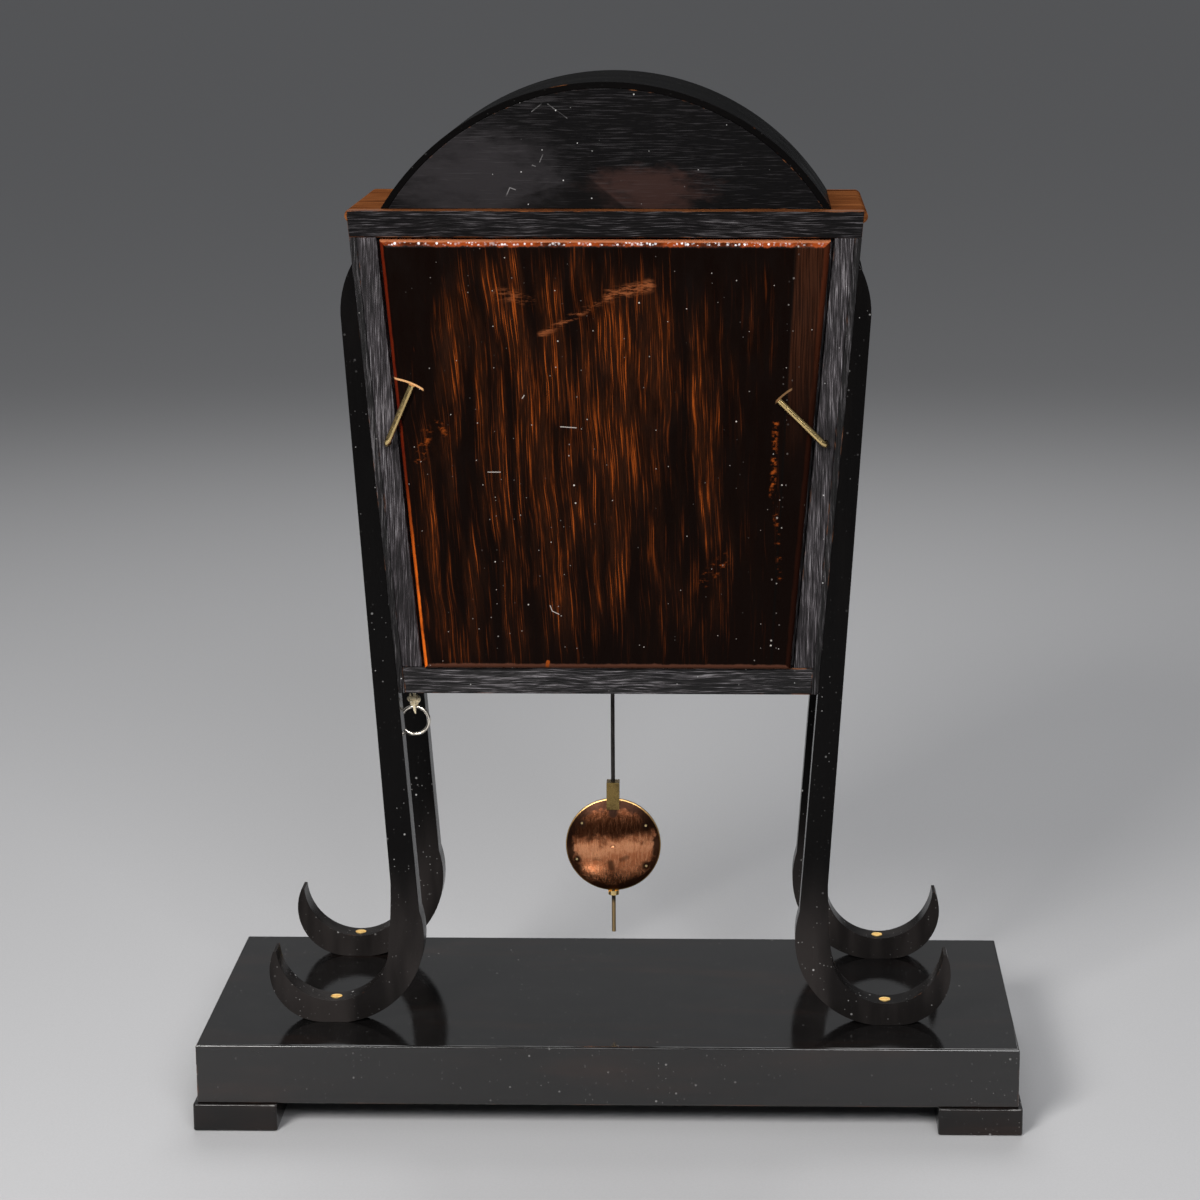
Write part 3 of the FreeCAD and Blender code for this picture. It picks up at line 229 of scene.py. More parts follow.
def objectPlace(tree):
    return tree.nodes.new("ShaderNodeTexCoord").outputs["Object"]


def mapped(tree, vector, scale, turn=(0, 0, 0)):
    node = tree.nodes.new("ShaderNodeMapping")
    plug(tree, node.inputs["Vector"], vector)
    node.inputs["Scale"].default_value = scale
    node.inputs["Rotation"].default_value = turn
    return node.outputs[0]


def noise(tree, vector, scale, detail=3.0, rough=0.5, bend=0.0):
    node = tree.nodes.new("ShaderNodeTexNoise")
    plug(tree, node.inputs["Vector"], vector)
    node.inputs["Scale"].default_value = scale
    node.inputs["Detail"].default_value = detail
    node.inputs["Roughness"].default_value = rough
    node.inputs["Distortion"].default_value = bend
    return node.outputs["Fac"]


def grainNoise(tree, vector, grain, stretch, *settings):
    # noise drawn out along the grain
    scale = tuple(stretch if axis == grain else 1.0 for axis in "xyz")
    return noise(tree, mapped(tree, vector, scale), *settings)


def calc(tree, kind, first, second=0.0, clamp=False):
    node = tree.nodes.new("ShaderNodeMath")
    node.operation = kind
    node.use_clamp = clamp
    plug(tree, node.inputs[0], first)
    plug(tree, node.inputs[1], second)
    return node.outputs[0]


def chain(tree, kind, values, clamp=False):
    total = values[0]
    for value in values[1:]:
        total = calc(tree, kind, total, value, clamp)
    return total


def times(tree, *values, clamp=False):
    return chain(tree, "MULTIPLY", values, clamp)


def plus(tree, *values, clamp=False):
    return chain(tree, "ADD", values, clamp)


def most(tree, *values):
    return chain(tree, "MAXIMUM", values)


def minus(tree, first, second, clamp=False):
    return calc(tree, "SUBTRACT", first, second, clamp)


def unsigned(tree, value):
    return calc(tree, "ABSOLUTE", value)


def fromMiddle(tree, value, reach):
    # noise that swings round nought
    return times(tree, minus(tree, value, 0.5), reach)


def squares(tree, dx, dz):
    return plus(tree, times(tree, dx, dx), times(tree, dz, dz))


def spread(tree, value, low, high, toLow=0.0, toHigh=1.0, smooth=True):
    node = tree.nodes.new("ShaderNodeMapRange")
    node.interpolation_type = "SMOOTHSTEP" if smooth else "LINEAR"
    plug(tree, node.inputs["Value"], value)
    for name, number in (("From Min", low), ("From Max", high), ("To Min", toLow), ("To Max", toHigh)):
        node.inputs[name].default_value = number
    return node.outputs[0]


def ramp(tree, value, stops):
    node = tree.nodes.new("ShaderNodeValToRGB")
    plug(tree, node.inputs[0], value)
    bar = node.color_ramp.elements
    while len(bar) < len(stops):
        bar.new(0.5)
    for step, (place, colour) in zip(bar, stops):
        step.position = place
        step.color = (*colour, 1.0)
    return node.outputs[0]


def blend(tree, share, first, second):
    node = tree.nodes.new("ShaderNodeMix")
    node.data_type = "RGBA"
    plug(tree, node.inputs[0], share)
    for socket, colour in ((node.inputs[6], first), (node.inputs[7], second)):
        plug(tree, socket, colour if isinstance(colour, bpy.types.NodeSocket) else (*colour, 1.0))
    return node.outputs[2]


def axes(tree, vector):
    node = tree.nodes.new("ShaderNodeSeparateXYZ")
    plug(tree, node.inputs[0], vector)
    return node.outputs[0], node.outputs[1], node.outputs[2]


def gathered(tree, x, y, z):
    node = tree.nodes.new("ShaderNodeCombineXYZ")
    for socket, value in zip(node.inputs, (x, y, z)):
        plug(tree, socket, value)
    return node.outputs[0]


def facing(tree):
    node = tree.nodes.new("ShaderNodeNewGeometry")
    return axes(tree, node.outputs["Normal"])


def wornEdge(tree):
    node = tree.nodes.new("ShaderNodeAttribute")
    node.attribute_name = "edge"
    return node.outputs["Fac"]


def bump(tree, height, strength, distance):
    node = tree.nodes.new("ShaderNodeBump")
    plug(tree, node.inputs["Height"], height)
    node.inputs["Strength"].default_value = strength
    node.inputs["Distance"].default_value = distance
    return node.outputs[0]


def dress(tree, shader, colour, rough, relief=None, shine=0.5, metallic=0.0):
    # relief is a height, its strength and its distance
    plug(tree, shader.inputs["Base Color"], colour)
    plug(tree, shader.inputs["Roughness"], rough)
    shader.inputs["Specular IOR Level"].default_value = shine
    shader.inputs["Metallic"].default_value = metallic
    if relief:
        plug(tree, shader.inputs["Normal"], bump(tree, *relief))


def specks(tree, vector, scale, reach, share):
    # round dots in some of the cells of a loose grid
    node = tree.nodes.new("ShaderNodeTexVoronoi")
    node.inputs["Scale"].default_value = scale
    plug(tree, node.inputs["Vector"], vector)
    dot = spread(tree, node.outputs["Distance"], reach * 0.5, reach, 1.0, 0.0)
    pick = axes(tree, node.outputs["Color"])[0]
    return times(tree, dot, spread(tree, pick, 1.0 - share, 1.0))


def capsule(tree, x, z, start, end, radius, soft):
    # 1 within a radius of a short line drawn on the X and Z plane, in metres
    dx, dz = end[0] - start[0], end[1] - start[1]
    square = dx * dx + dz * dz
    px, pz = minus(tree, x, start[0]), minus(tree, z, start[1])
    along = plus(tree, times(tree, px, dx / square), times(tree, pz, dz / square), clamp=True)
    offX = minus(tree, px, times(tree, along, dx))
    offZ = minus(tree, pz, times(tree, along, dz))
    return spread(tree, calc(tree, "SQRT", squares(tree, offX, offZ)), radius, radius + soft, 1.0, 0.0)


def drawnLines(tree, x, z, lines, radius, soft):
    mask = 0.0
    for start, end in lines:
        mask = most(tree, mask, capsule(tree, x, z, start, end, radius, soft))
    return mask


def ringMask(tree, x, z, middle, radius, width):
    px, pz = minus(tree, x, middle[0]), minus(tree, z, middle[1])
    off = unsigned(tree, minus(tree, calc(tree, "SQRT", squares(tree, px, pz)), radius))
    return spread(tree, off, width * 0.5, width, 1.0, 0.0)


def blobReach(tree, x, z, middle, half):
    # 0 at the middle of an oval and 1 on its edge
    dx = calc(tree, "DIVIDE", minus(tree, x, middle[0]), half[0])
    dz = calc(tree, "DIVIDE", minus(tree, z, middle[1]), half[1])
    return squares(tree, dx, dz)


# finishes of the black wood

polishLook = {
    "dark": (0.0055, 0.0050, 0.0050),
    "brown": (0.016, 0.0085, 0.0062),
    "pore": (0.0022, 0.0020, 0.0020),
    "dust": (0.46, 0.45, 0.44),
    "wear": (0.46, 0.155, 0.045),
    "roughness": (0.14, 0.30),
    "mirror": (0.04, 0.12),  # roughness of polished level faces
}
dustyLook = dict(polishLook, wear=(0.30, 0.29, 0.28))
legLook = dict(polishLook, dark=(0.0026, 0.0024, 0.0024), brown=(0.0044, 0.0037, 0.0035),
               # the grey near the foot is a painted sheen
               low=(0.026, 0.0225, 0.0215), lowReach=(0.075, 0.135))


def blackPolish(name, grain, look=polishLook, worn=0.35, dusty=0.6, shine=0.4, mirror=False):
    material, tree, shader = newMaterial(name)
    place = objectPlace(tree)
    upward = facing(tree)[2]
    fine = grainNoise(tree, place, grain, 0.06, 900.0, 4.0, 0.6)
    broad = grainNoise(tree, place, grain, 0.2, 42.0, 3.0, 0.55)
    colour = blend(tree, spread(tree, broad, 0.50, 0.80), look["dark"], look["brown"])
    colour = blend(tree, spread(tree, fine, 0.35, 0.75, 0.0, 0.55), colour, look["pore"])
    if "low" in look:
        # painted sheen: the polish is made greyer near the foot
        dull = spread(tree, axes(tree, place)[2], *look["lowReach"], 0.75, 0.0)
        dull = times(tree, dull, spread(tree, broad, 0.36, 0.62, 0.25, 1.0))
        colour = blend(tree, dull, colour, look["low"])
    # dust, in specks and as a film on what faces up
    cloud = noise(tree, place, 16.0, 2.0, 0.5)
    dots = specks(tree, place, 210.0, 0.15, 0.34)
    dots = most(tree, dots, times(tree, specks(tree, place, 560.0, 0.20, 0.30), 0.7))
    dots = times(tree, dots, spread(tree, cloud, 0.38, 0.64, 0.06, dusty))
    film = spread(tree, noise(tree, place, 60.0, 4.0, 0.6), 0.4, 0.8, 0.0, 0.02 * dusty)
    film = times(tree, spread(tree, upward, 0.55, 0.95), film)
    colour = blend(tree, most(tree, dots, film), colour, look["dust"])
    # bare wood on the upper edges
    chips = grainNoise(tree, place, grain, 0.3, 160.0, 4.0, 0.65)
    chips = spread(tree, chips, 0.62 - 0.2 * worn, 0.72)
    rubbed = times(tree, wornEdge(tree), chips, min(1.0, worn * 1.6))
    rubbed = times(tree, rubbed, spread(tree, upward, 0.0, 0.4, 0.12, 1.0))
    colour = blend(tree, rubbed, colour, look["wear"])
    smear = grainNoise(tree, place, grain, 0.25, 75.0, 5.0, 0.65)
    rough = spread(tree, smear, 0.3, 0.75, *look["roughness"], False)
    if mirror:
        level = spread(tree, upward, 0.90, 0.99)
        polished = spread(tree, smear, 0.3, 0.75, *look["mirror"], False)
        rough = plus(tree, times(tree, polished, level), times(tree, rough, minus(tree, 1.0, level)))
    rough = plus(tree, rough, times(tree, most(tree, dots, rubbed), 0.3), clamp=True)
    dress(tree, shader, colour, rough, (fine, 0.06 if mirror else 0.12, 0.0004), shine)
    return material


openLook = {
    "pore": (0.0026, 0.0024, 0.0026),
    "body": (0.012, 0.0108, 0.0114),
    "raised": (0.046, 0.042, 0.045),
    # painted glints on the highest grain ridges
    "ridgeGlint": (0.155, 0.145, 0.152),
    "wear": (0.34, 0.12, 0.04),
    "dust": (0.50, 0.49, 0.48),
    "stops": (0.45, 0.525, 0.565, 0.635),  # of the ridges, from pore to the painted glint
}
stileLook = dict(openLook, pore=(0.0060, 0.0052, 0.0058), body=(0.027, 0.0235, 0.0260),
                 raised=(0.054, 0.049, 0.053))
railLook = dict(openLook, stops=(0.46, 0.54, 0.585, 0.66))


def grainTone(tree, place, grain, wavy):
    # ridges of coarse wood, and a cloud that lets them fade here and there
    bent = place
    if wavy:
        push = fromMiddle(tree, grainNoise(tree, place, grain, 0.45, 55.0, 2.0, 0.5), wavy)
        x, y, z = axes(tree, place)
        if grain == "x":
            bent = gathered(tree, x, y, plus(tree, z, push))
        else:
            bent = gathered(tree, plus(tree, x, push), y, z)
    coarse = grainNoise(tree, bent, grain, 0.035, 1500.0, 4.0, 0.6)
    fine = grainNoise(tree, bent, grain, 0.03, 3400.0, 3.0, 0.55)
    ribs = plus(tree, times(tree, coarse, 0.5), times(tree, fine, 0.5))
    cloud = grainNoise(tree, place, grain, 0.3, 45.0, 3.0, 0.55)
    return ribs, plus(tree, ribs, fromMiddle(tree, cloud, 0.20))


def blackStain(tree, tone, look, pale):
    colours = [tuple(part * pale for part in look[key]) for key in ("body", "raised", "ridgeGlint")]
    return ramp(tree, tone, list(zip(look["stops"], [look["pore"], *colours])))


def openGrain(name, grain, look=openLook, worn=0.4, wavy=0.0, pale=1.0, relief=0.6, shine=0.12, patch=None):
    # coarse wood whose grain stands up through a thin black stain
    material, tree, shader = newMaterial(name)
    place = objectPlace(tree)
    ribs, tone = grainTone(tree, place, grain, wavy)
    colour = blackStain(tree, tone, look, pale)
    if patch:
        colour = patch(tree, place, colour)
    chips = grainNoise(tree, place, grain, 0.3, 210.0, 4.0, 0.65)
    chips = spread(tree, chips, 0.63 - 0.2 * worn, 0.72)
    colour = blend(tree, times(tree, wornEdge(tree), chips, worn), colour, look["wear"])
    dots = times(tree, specks(tree, place, 300.0, 0.13, 0.18), 0.7)
    colour = blend(tree, dots, colour, look["dust"])
    rough = spread(tree, ribs, 0.42, 0.60, 0.62, 0.34, False)
    dress(tree, shader, colour, rough, (ribs, relief, 0.0008), shine)
    return material


archLook = {
    "brown": (0.034, 0.0165, 0.0135),
    "grey": (0.030, 0.027, 0.029),
    "shade": (0.0026, 0.0022, 0.0022),
    "scratch": (0.26, 0.25, 0.25),
    "patch": (-0.020, 0.4535),
    "patchHalf": (0.034, 0.013),
    "bloom": (0.060, 0.458),  # where the stain has gone grey
    "bloomHalf": (0.040, 0.026),
    "tip": (0.0085, 0.4600),
    "slopes": (0.82, 0.30),
    "spike": (0.0004, 0.009),
    # start and end of each scratch
    "scratches": (((0.0470, 0.4505), (0.0452, 0.4545)), ((0.0452, 0.4545), (0.0425, 0.4535)),
                  ((0.0310, 0.4665), (0.0295, 0.4700)), ((0.0330, 0.4645), (0.0345, 0.4650)),
                  ((0.0345, 0.4900), (0.0300, 0.4935)), ((0.0270, 0.4935), (0.0180, 0.4870))),
}


def archPatch(tree, place, colour, look=archLook):
    # a faded brown patch beside a dark tongue
    x, z = axes(tree, place)[::2]
    rag = grainNoise(tree, place, "x", 0.4, 150.0, 5.0, 0.65)
    torn = fromMiddle(tree, rag, 2.4)
    cloud = plus(tree, blobReach(tree, x, z, look["patch"], look["patchHalf"]), torn)
    colour = blend(tree, spread(tree, cloud, 0.1, 1.1, 0.62, 0.0), colour, look["brown"])
    cloud = plus(tree, blobReach(tree, x, z, look["bloom"], look["bloomHalf"]), torn)
    colour = blend(tree, spread(tree, cloud, 0.0, 1.5, 0.50, 0.0), colour, look["grey"])
    # the tongue lies under two slopes that meet at its tip
    tipX, tipZ = look["tip"]
    steep = plus(tree, times(tree, minus(tree, x, tipX), look["slopes"][0]), tipZ)
    flat = plus(tree, times(tree, minus(tree, tipX, x), look["slopes"][1]), tipZ)
    under = minus(tree, calc(tree, "MINIMUM", steep, flat), z)
    tongue = times(tree, spread(tree, under, -0.0008, 0.0012), spread(tree, x, 0.030, 0.055, 0.75, 0.0))
    spikeTop = (tipX + look["spike"][0], tipZ + look["spike"][1])
    spike = capsule(tree, x, z, look["tip"], spikeTop, 0.0002, 0.0012)
    tongue = most(tree, tongue, times(tree, spike, 0.5))
    tongue = times(tree, tongue, spread(tree, rag, 0.3, 0.55, 0.55, 1.0))
    colour = blend(tree, tongue, colour, look["shade"])
    scratch = drawnLines(tree, x, z, look["scratches"], 0.00004, 0.0003)
    scratch = times(tree, scratch, spread(tree, rag, 0.38, 0.6, 0.05, 0.5))
    return blend(tree, scratch, colour, look["scratch"])


# the brown door

doorLook = {
    "dark": (0.0028, 0.0012, 0.0008),
    "brown": (0.0150, 0.0046, 0.0018),
    "ember": (0.0470, 0.0098, 0.0018),
    "orange": (0.1900, 0.0380, 0.0050),
    "strip": (0.0260, 0.0085, 0.0040),
    "seam": (0.002, 0.0015, 0.0013),
    # painted light on the door's arrises by the way they face, with worn bare wood on the top one
    "litEdgeRed": (0.0620, 0.0040, 0.0018),
    "litEdgeOrange": (0.62, 0.120, 0.0110),
    "litEdgeBrown": (0.060, 0.013, 0.005),
    "litEdgeFoot": (0.090, 0.034, 0.020),
    "wornLitTopEdge": (0.34, 0.115, 0.0500),
    "litTopFringe": (0.21, 0.036, 0.0060),
    "scuff": (0.17, 0.050, 0.0170),
    "arc": (0.60, 0.33, 0.15),
    "dust": (0.55, 0.50, 0.46),
    # painted glints along the top arris
    "paintedGlint": (0.80, 0.81, 0.84),
    "middle": 0.328,  # height at which the grain stands upright
    "lean": (0.55, 0.045),  # of the grain, with X and at X = 0
    "wander": 0.0060,
    "stripSide": (0.0795, 0.24, 0.0515),  # X and Z of a point on its side, and its lean
    "dragTurn": (0, 0.45, 0),
    "scuffHeight": 0.38,  # scuffs above this are dragged, those below are rubbed
    # X, Z, half width, half height and share of the places where streaks gather
    "gathers": ((0.050, 0.320, 0.034, 0.085, 0.95), (0.022, 0.330, 0.030, 0.080, 0.60),
                (-0.016, 0.325, 0.028, 0.080, 0.75), (-0.046, 0.310, 0.022, 0.060, 0.55),
                (0.070, 0.275, 0.018, 0.050, 0.55), (0.030, 0.395, 0.045, 0.030, 0.45),
                (-0.058, 0.385, 0.018, 0.035, 0.35)),
    # start, end, radius, soft edge, how much of it shows, share
    "scuffs": (((-0.0205, 0.4100), (-0.0020, 0.4055), 0.0009, 0.0034, 0.42, 0.85),
               ((0.0300, 0.3870), (-0.0040, 0.4060), 0.0003, 0.0024, 0.47, 0.70),
               ((0.0500, 0.4060), (0.0360, 0.4035), 0.0010, 0.0036, 0.50, 0.45),
               ((-0.0470, 0.2690), (-0.0570, 0.2790), 0.0008, 0.0036, 0.53, 0.80),
               ((0.0850, 0.3405), (0.0885, 0.3270), 0.0010, 0.0026, 0.50, 0.70),
               ((0.0795, 0.3460), (0.0765, 0.3395), 0.0005, 0.0016, 0.46, 0.60),
               ((-0.0805, 0.3450), (-0.0790, 0.3100), 0.0004, 0.0016, 0.48, 0.90),
               ((-0.0800, 0.3060), (-0.0830, 0.2700), 0.0003, 0.0016, 0.54, 0.70),
               ((0.0289, 0.2262), (0.0285, 0.2285), 0.0006, 0.0005, 0.10, 1.00)),
    # pivot, radius, X at its ends and share of the arcs that the catch tips have cut
    "arcs": (((0.1040, 0.3345), 0.0315, (0.0858, 0.1012), 0.8),
             ((-0.1040, 0.3345), 0.0312, (-0.0885, -0.0800), 0.2)),
    "arcWidth": 0.0006,
    "lint": (((0.0562, 0.3211), (0.0503, 0.3211)), ((0.0272, 0.2562), (0.0262, 0.2535)),
             ((0.0262, 0.2535), (0.0230, 0.2520)), ((0.0395, 0.3565), (0.0385, 0.3580)),
             ((0.0215, 0.3430), (0.0140, 0.3425))),
}


def streakedDoor(look=doorLook):
    material, tree, shader = newMaterial("streakedDoor")
    place = objectPlace(tree)
    x, y, z = axes(tree, place)
    sideways, upward = facing(tree)[::2]
    gather = 0.12
    for gatherX, gatherZ, wide, high, share in look["gathers"]:
        near = blobReach(tree, x, z, (gatherX, gatherZ), (wide, high))
        gather = plus(tree, gather, spread(tree, near, 0.1, 2.0, share, 0.0))
    cloud = grainNoise(tree, place, "z", 0.35, 60.0, 4.0, 0.6)
    gather = times(tree, gather, spread(tree, cloud, 0.34, 0.62, 0.35, 1.1), clamp=True)
    # grain lines lean with the side of the door and wander a little
    lean = plus(tree, times(tree, x, look["lean"][0]), look["lean"][1])
    slant = times(tree, minus(tree, z, look["middle"]), lean)
    wander = times(tree, grainNoise(tree, place, "z", 0.5, 34.0, 2.0, 0.5), look["wander"])
    grain = gathered(tree, plus(tree, minus(tree, x, slant), wander), y, z)
    thin = grainNoise(tree, grain, "z", 0.016, 2250.0, 3.0, 0.55)
    middle = grainNoise(tree, grain, "z", 0.035, 760.0, 3.0, 0.55)
    bunch = grainNoise(tree, grain, "z", 0.10, 120.0, 3.0, 0.55)
    hair = grainNoise(tree, grain, "z", 0.03, 3000.0, 2.0, 0.5)
    lines = times(tree, spread(tree, thin, 0.46, 0.66), spread(tree, middle, 0.42, 0.64, 0.06, 1.0))
    lines = times(tree, lines, spread(tree, bunch, 0.38, 0.62, 0.15, 1.0))
    lines = times(tree, lines, times(tree, gather, 1.5))
    warm = times(tree, spread(tree, bunch, 0.36, 0.64), spread(tree, gather, 0.1, 0.9))
    colour = blend(tree, warm, look["dark"], look["brown"])
    colour = blend(tree, spread(tree, hair, 0.42, 0.60, 0.0, 0.6), colour, look["dark"])
    colour = blend(tree, spread(tree, lines, 0.02, 0.36), colour, look["ember"])
    colour = blend(tree, spread(tree, lines, 0.30, 1.1), colour, look["orange"])
    # a plain strip down the right hand side in the picture
    stripX, stripZ, stripLean = look["stripSide"]
    side = plus(tree, x, stripX, times(tree, minus(tree, z, stripZ), stripLean))
    high = spread(tree, plus(tree, z, times(tree, cloud, 0.05)), 0.345, 0.420)
    strip = blend(tree, high, look["dark"], look["strip"])
    strip = blend(tree, spread(tree, thin, 0.40, 0.60, 0.0, 0.7), strip, look["dark"])
    colour = blend(tree, spread(tree, side, -0.0006, 0.0006, 1.0, 0.0), colour, strip)
    fromSeam = unsigned(tree, side)
    seam = spread(tree, fromSeam, 0.0003, 0.0008, 1.0, 0.0)
    colour = blend(tree, times(tree, seam, 0.7), colour, look["seam"])
    # painted light on the arrises, and worn bare wood on the top one, told from the flat by the way they face
    rag = grainNoise(tree, place, "z", 0.3, 240.0, 4.0, 0.65)
    chew = fromMiddle(tree, rag, 0.5)
    litLeftArris = spread(tree, plus(tree, sideways, times(tree, chew, 0.6)), 0.46, 0.66)
    litRightArris = spread(tree, plus(tree, times(tree, sideways, -1.0), chew), 0.10, 0.45)
    wornLitTopArris = spread(tree, plus(tree, upward, times(tree, chew, 0.4)), 0.70, 0.82)
    litFringeArris = spread(tree, plus(tree, upward, times(tree, chew, 1.6)), 0.16, 0.42)
    litFootArris = spread(tree, plus(tree, times(tree, upward, -1.0), chew), 0.12, 0.40)
    low = times(tree, spread(tree, z, 0.245, 0.330, 1.0, 0.04), spread(tree, rag, 0.30, 0.60, 0.45, 1.0))
    for mask, tint in (
        (litLeftArris, blend(tree, low, look["litEdgeRed"], look["litEdgeOrange"])),
        (times(tree, litRightArris, spread(tree, z, 0.36, 0.42, 0.15, 0.6)), look["litEdgeBrown"]),
        (times(tree, litFootArris, 0.75), look["litEdgeFoot"]),
        (times(tree, litFringeArris, spread(tree, cloud, 0.40, 0.58, 0.2, 1.0)), look["litTopFringe"]),
        (times(tree, wornLitTopArris, spread(tree, rag, 0.30, 0.48, 0.55, 1.0)), look["wornLitTopEdge"]),
    ):
        colour = blend(tree, mask, colour, tint)
    # painted glints along the top arris, drawn as chips of bare polish
    chips = specks(tree, mapped(tree, place, (1.0, 1.0, 0.6)), 720.0, 0.58, 0.95)
    chips = times(tree, chips, spread(tree, rag, 0.36, 0.54, 0.3, 1.0))
    arris = times(tree, spread(tree, upward, 0.34, 0.50), spread(tree, upward, 0.72, 0.84, 1.0, 0.0))
    chips = times(tree, chips, arris, spread(tree, x, -0.092, -0.075, 0.25, 1.0))
    # scuffs where something was dragged over the polish
    drag = noise(tree, mapped(tree, place, (0.22, 1, 1), look["dragTurn"]), 700.0, 4.0, 0.65)
    rubs = noise(tree, mapped(tree, place, (0.6, 1, 1), look["dragTurn"]), 420.0, 5.0, 0.7)
    for start, end, radius, soft, cut, share in look["scuffs"]:
        marks, tint = (drag, "scuff") if start[1] > look["scuffHeight"] else (rubs, "orange")
        mask = capsule(tree, x, z, start, end, radius, soft)
        mask = times(tree, mask, spread(tree, marks, cut, cut + 0.16), share)
        colour = blend(tree, mask, colour, look[tint])
    for pivot, radius, (left, right), share in look["arcs"]:
        stretch = times(tree, spread(tree, x, left, left + 0.001),
                        spread(tree, x, right - 0.001, right, 1.0, 0.0))
        stretch = times(tree, stretch, spread(tree, z, 0.340, 0.345))
        arc = times(tree, ringMask(tree, x, z, pivot, radius, look["arcWidth"]), stretch, share)
        colour = blend(tree, arc, colour, look["arc"])
    # lint and dust
    lint = drawnLines(tree, x, z, look["lint"], 0.00005, 0.00024)
    dots = times(tree, specks(tree, place, 340.0, 0.12, 0.20), 0.6)
    dots = most(tree, specks(tree, place, 130.0, 0.065, 0.30), dots)
    seamDots = specks(tree, place, 420.0, 0.26, 0.30)
    seamDots = times(tree, seamDots, spread(tree, fromSeam, 0.0012, 0.0026, 0.8, 0.0))
    dots = most(tree, dots, seamDots, times(tree, lint, 0.7))
    colour = blend(tree, times(tree, dots, 0.8), colour, look["dust"])
    colour = blend(tree, chips, colour, look["paintedGlint"])
    polish = grainNoise(tree, place, "z", 0.4, 90.0, 5.0, 0.65)
    polish = spread(tree, polish, 0.3, 0.75, 0.22, 0.42, False)
    rough = plus(tree, polish, times(tree, most(tree, wornLitTopArris, dots), 0.3), clamp=True)
    height = plus(tree, times(tree, thin, 0.7), times(tree, most(tree, dots, chips), 0.6))
    dress(tree, shader, colour, rough, (height, 0.16, 0.0005), 0.03)
    return material


plainLook = {
    "pale": (0.215, 0.078, 0.026),
    "deep": (0.105, 0.032, 0.010),
    "dirt": (0.030, 0.011, 0.006),
    "stainPale": 0.5,
    "stainWave": 0.0035,
}


def plainWood(name, blackBack=False, look=plainLook):
    # unstained wood with its grain along X, and black stain on the face that shows at the back
    material, tree, shader = newMaterial(name)
    place = objectPlace(tree)
    streak = grainNoise(tree, place, "x", 0.06, 420.0, 5.0, 0.6, 0.3)
    cloud = grainNoise(tree, place, "x", 0.3, 45.0, 4.0, 0.6)
    tone = plus(tree, times(tree, streak, 0.7), times(tree, cloud, 0.3))
    colour = ramp(tree, tone, [(0.36, look["dirt"]), (0.46, look["deep"]), (0.62, look["pale"])])
    relief, shine = (streak, 0.3, 0.0006), 0.0
    if blackBack:
        ribs, ridge = grainTone(tree, place, "x", look["stainWave"])
        stain = blackStain(tree, ridge, railLook, look["stainPale"])
        chips = spread(tree, grainNoise(tree, place, "x", 0.3, 150.0, 4.0, 0.65), 0.5, 0.62)
        kept = minus(tree, 1.0, times(tree, wornEdge(tree), chips))
        back = times(tree, spread(tree, facing(tree)[1], 0.5, 0.75), kept)
        colour = blend(tree, back, colour, stain)
        relief, shine = (ribs, 0.6, 0.0006), 0.03
    rough = spread(tree, streak, 0.3, 0.7, 0.48, 0.66, False)
    dress(tree, shader, colour, rough, relief, shine)
    return material


# metals, and the few other finishes

def agedMetal(name, colour, tarnish, rough, spots=0.5, brush=None, scale=120.0, dents=0.08):
    material, tree, shader = newMaterial(name)
    place = objectPlace(tree)
    cloud = noise(tree, place, scale, 5.0, 0.62)
    fine = noise(tree, place, scale * 7.0, 4.0, 0.6)
    mask = plus(tree, times(tree, cloud, 0.75), times(tree, fine, 0.25))
    mask = spread(tree, mask, 0.46, 0.68, 0.0, spots)
    dull = spread(tree, fine, 0.3, 0.7, rough - 0.05, rough + 0.06, False)
    dull = plus(tree, dull, times(tree, mask, 0.22), clamp=True)
    relief = (fine, dents, 0.0002) if dents else None
    if brush:
        relief = (grainNoise(tree, place, *brush, 2600.0, 3.0, 0.6), 0.16, 0.0002)
    dress(tree, shader, blend(tree, mask, colour, tarnish), dull, relief, metallic=1.0)
    return material


bobLook = {
    "copper": (0.44, 0.145, 0.060),
    # pale copper of the brushing, and of the painted reflection band
    "pale": (0.74, 0.33, 0.165),
    # painted shade over the top of the bob
    "tan": (0.034, 0.0105, 0.0045),
    "patina": (0.016, 0.0075, 0.0050),
    "brassRim": (0.36, 0.22, 0.085),
    "pin": (0.50, 0.38, 0.19),
    "middle": (0.0, 0.1203),
    "radius": 0.024,
    "pins": (37.0, 147.0, 212.0, 339.0),  # degrees round the face
    "pinReach": 0.82,
    "pinRadius": 0.00045,
    "lean": 0.09,  # the painted reflection band climbs towards one side
    "reflectionBandDrop": 0.0012,
    "rubbed": ((0.0128, 0.1072), (0.0108, 0.1052)),  # a spot that has lost its patina
    # start, end, radius and share of the blots below the middle and under the ferrule
    "blots": (((0.0012, 0.1120), (0.0008, 0.1090), 0.0006, 0.75),
              ((-0.0040, 0.1135), (-0.0070, 0.1150), 0.0002, 0.55),
              ((0.0, 0.1375), (0.0, 0.1395), 0.0015, 1.0)),
}


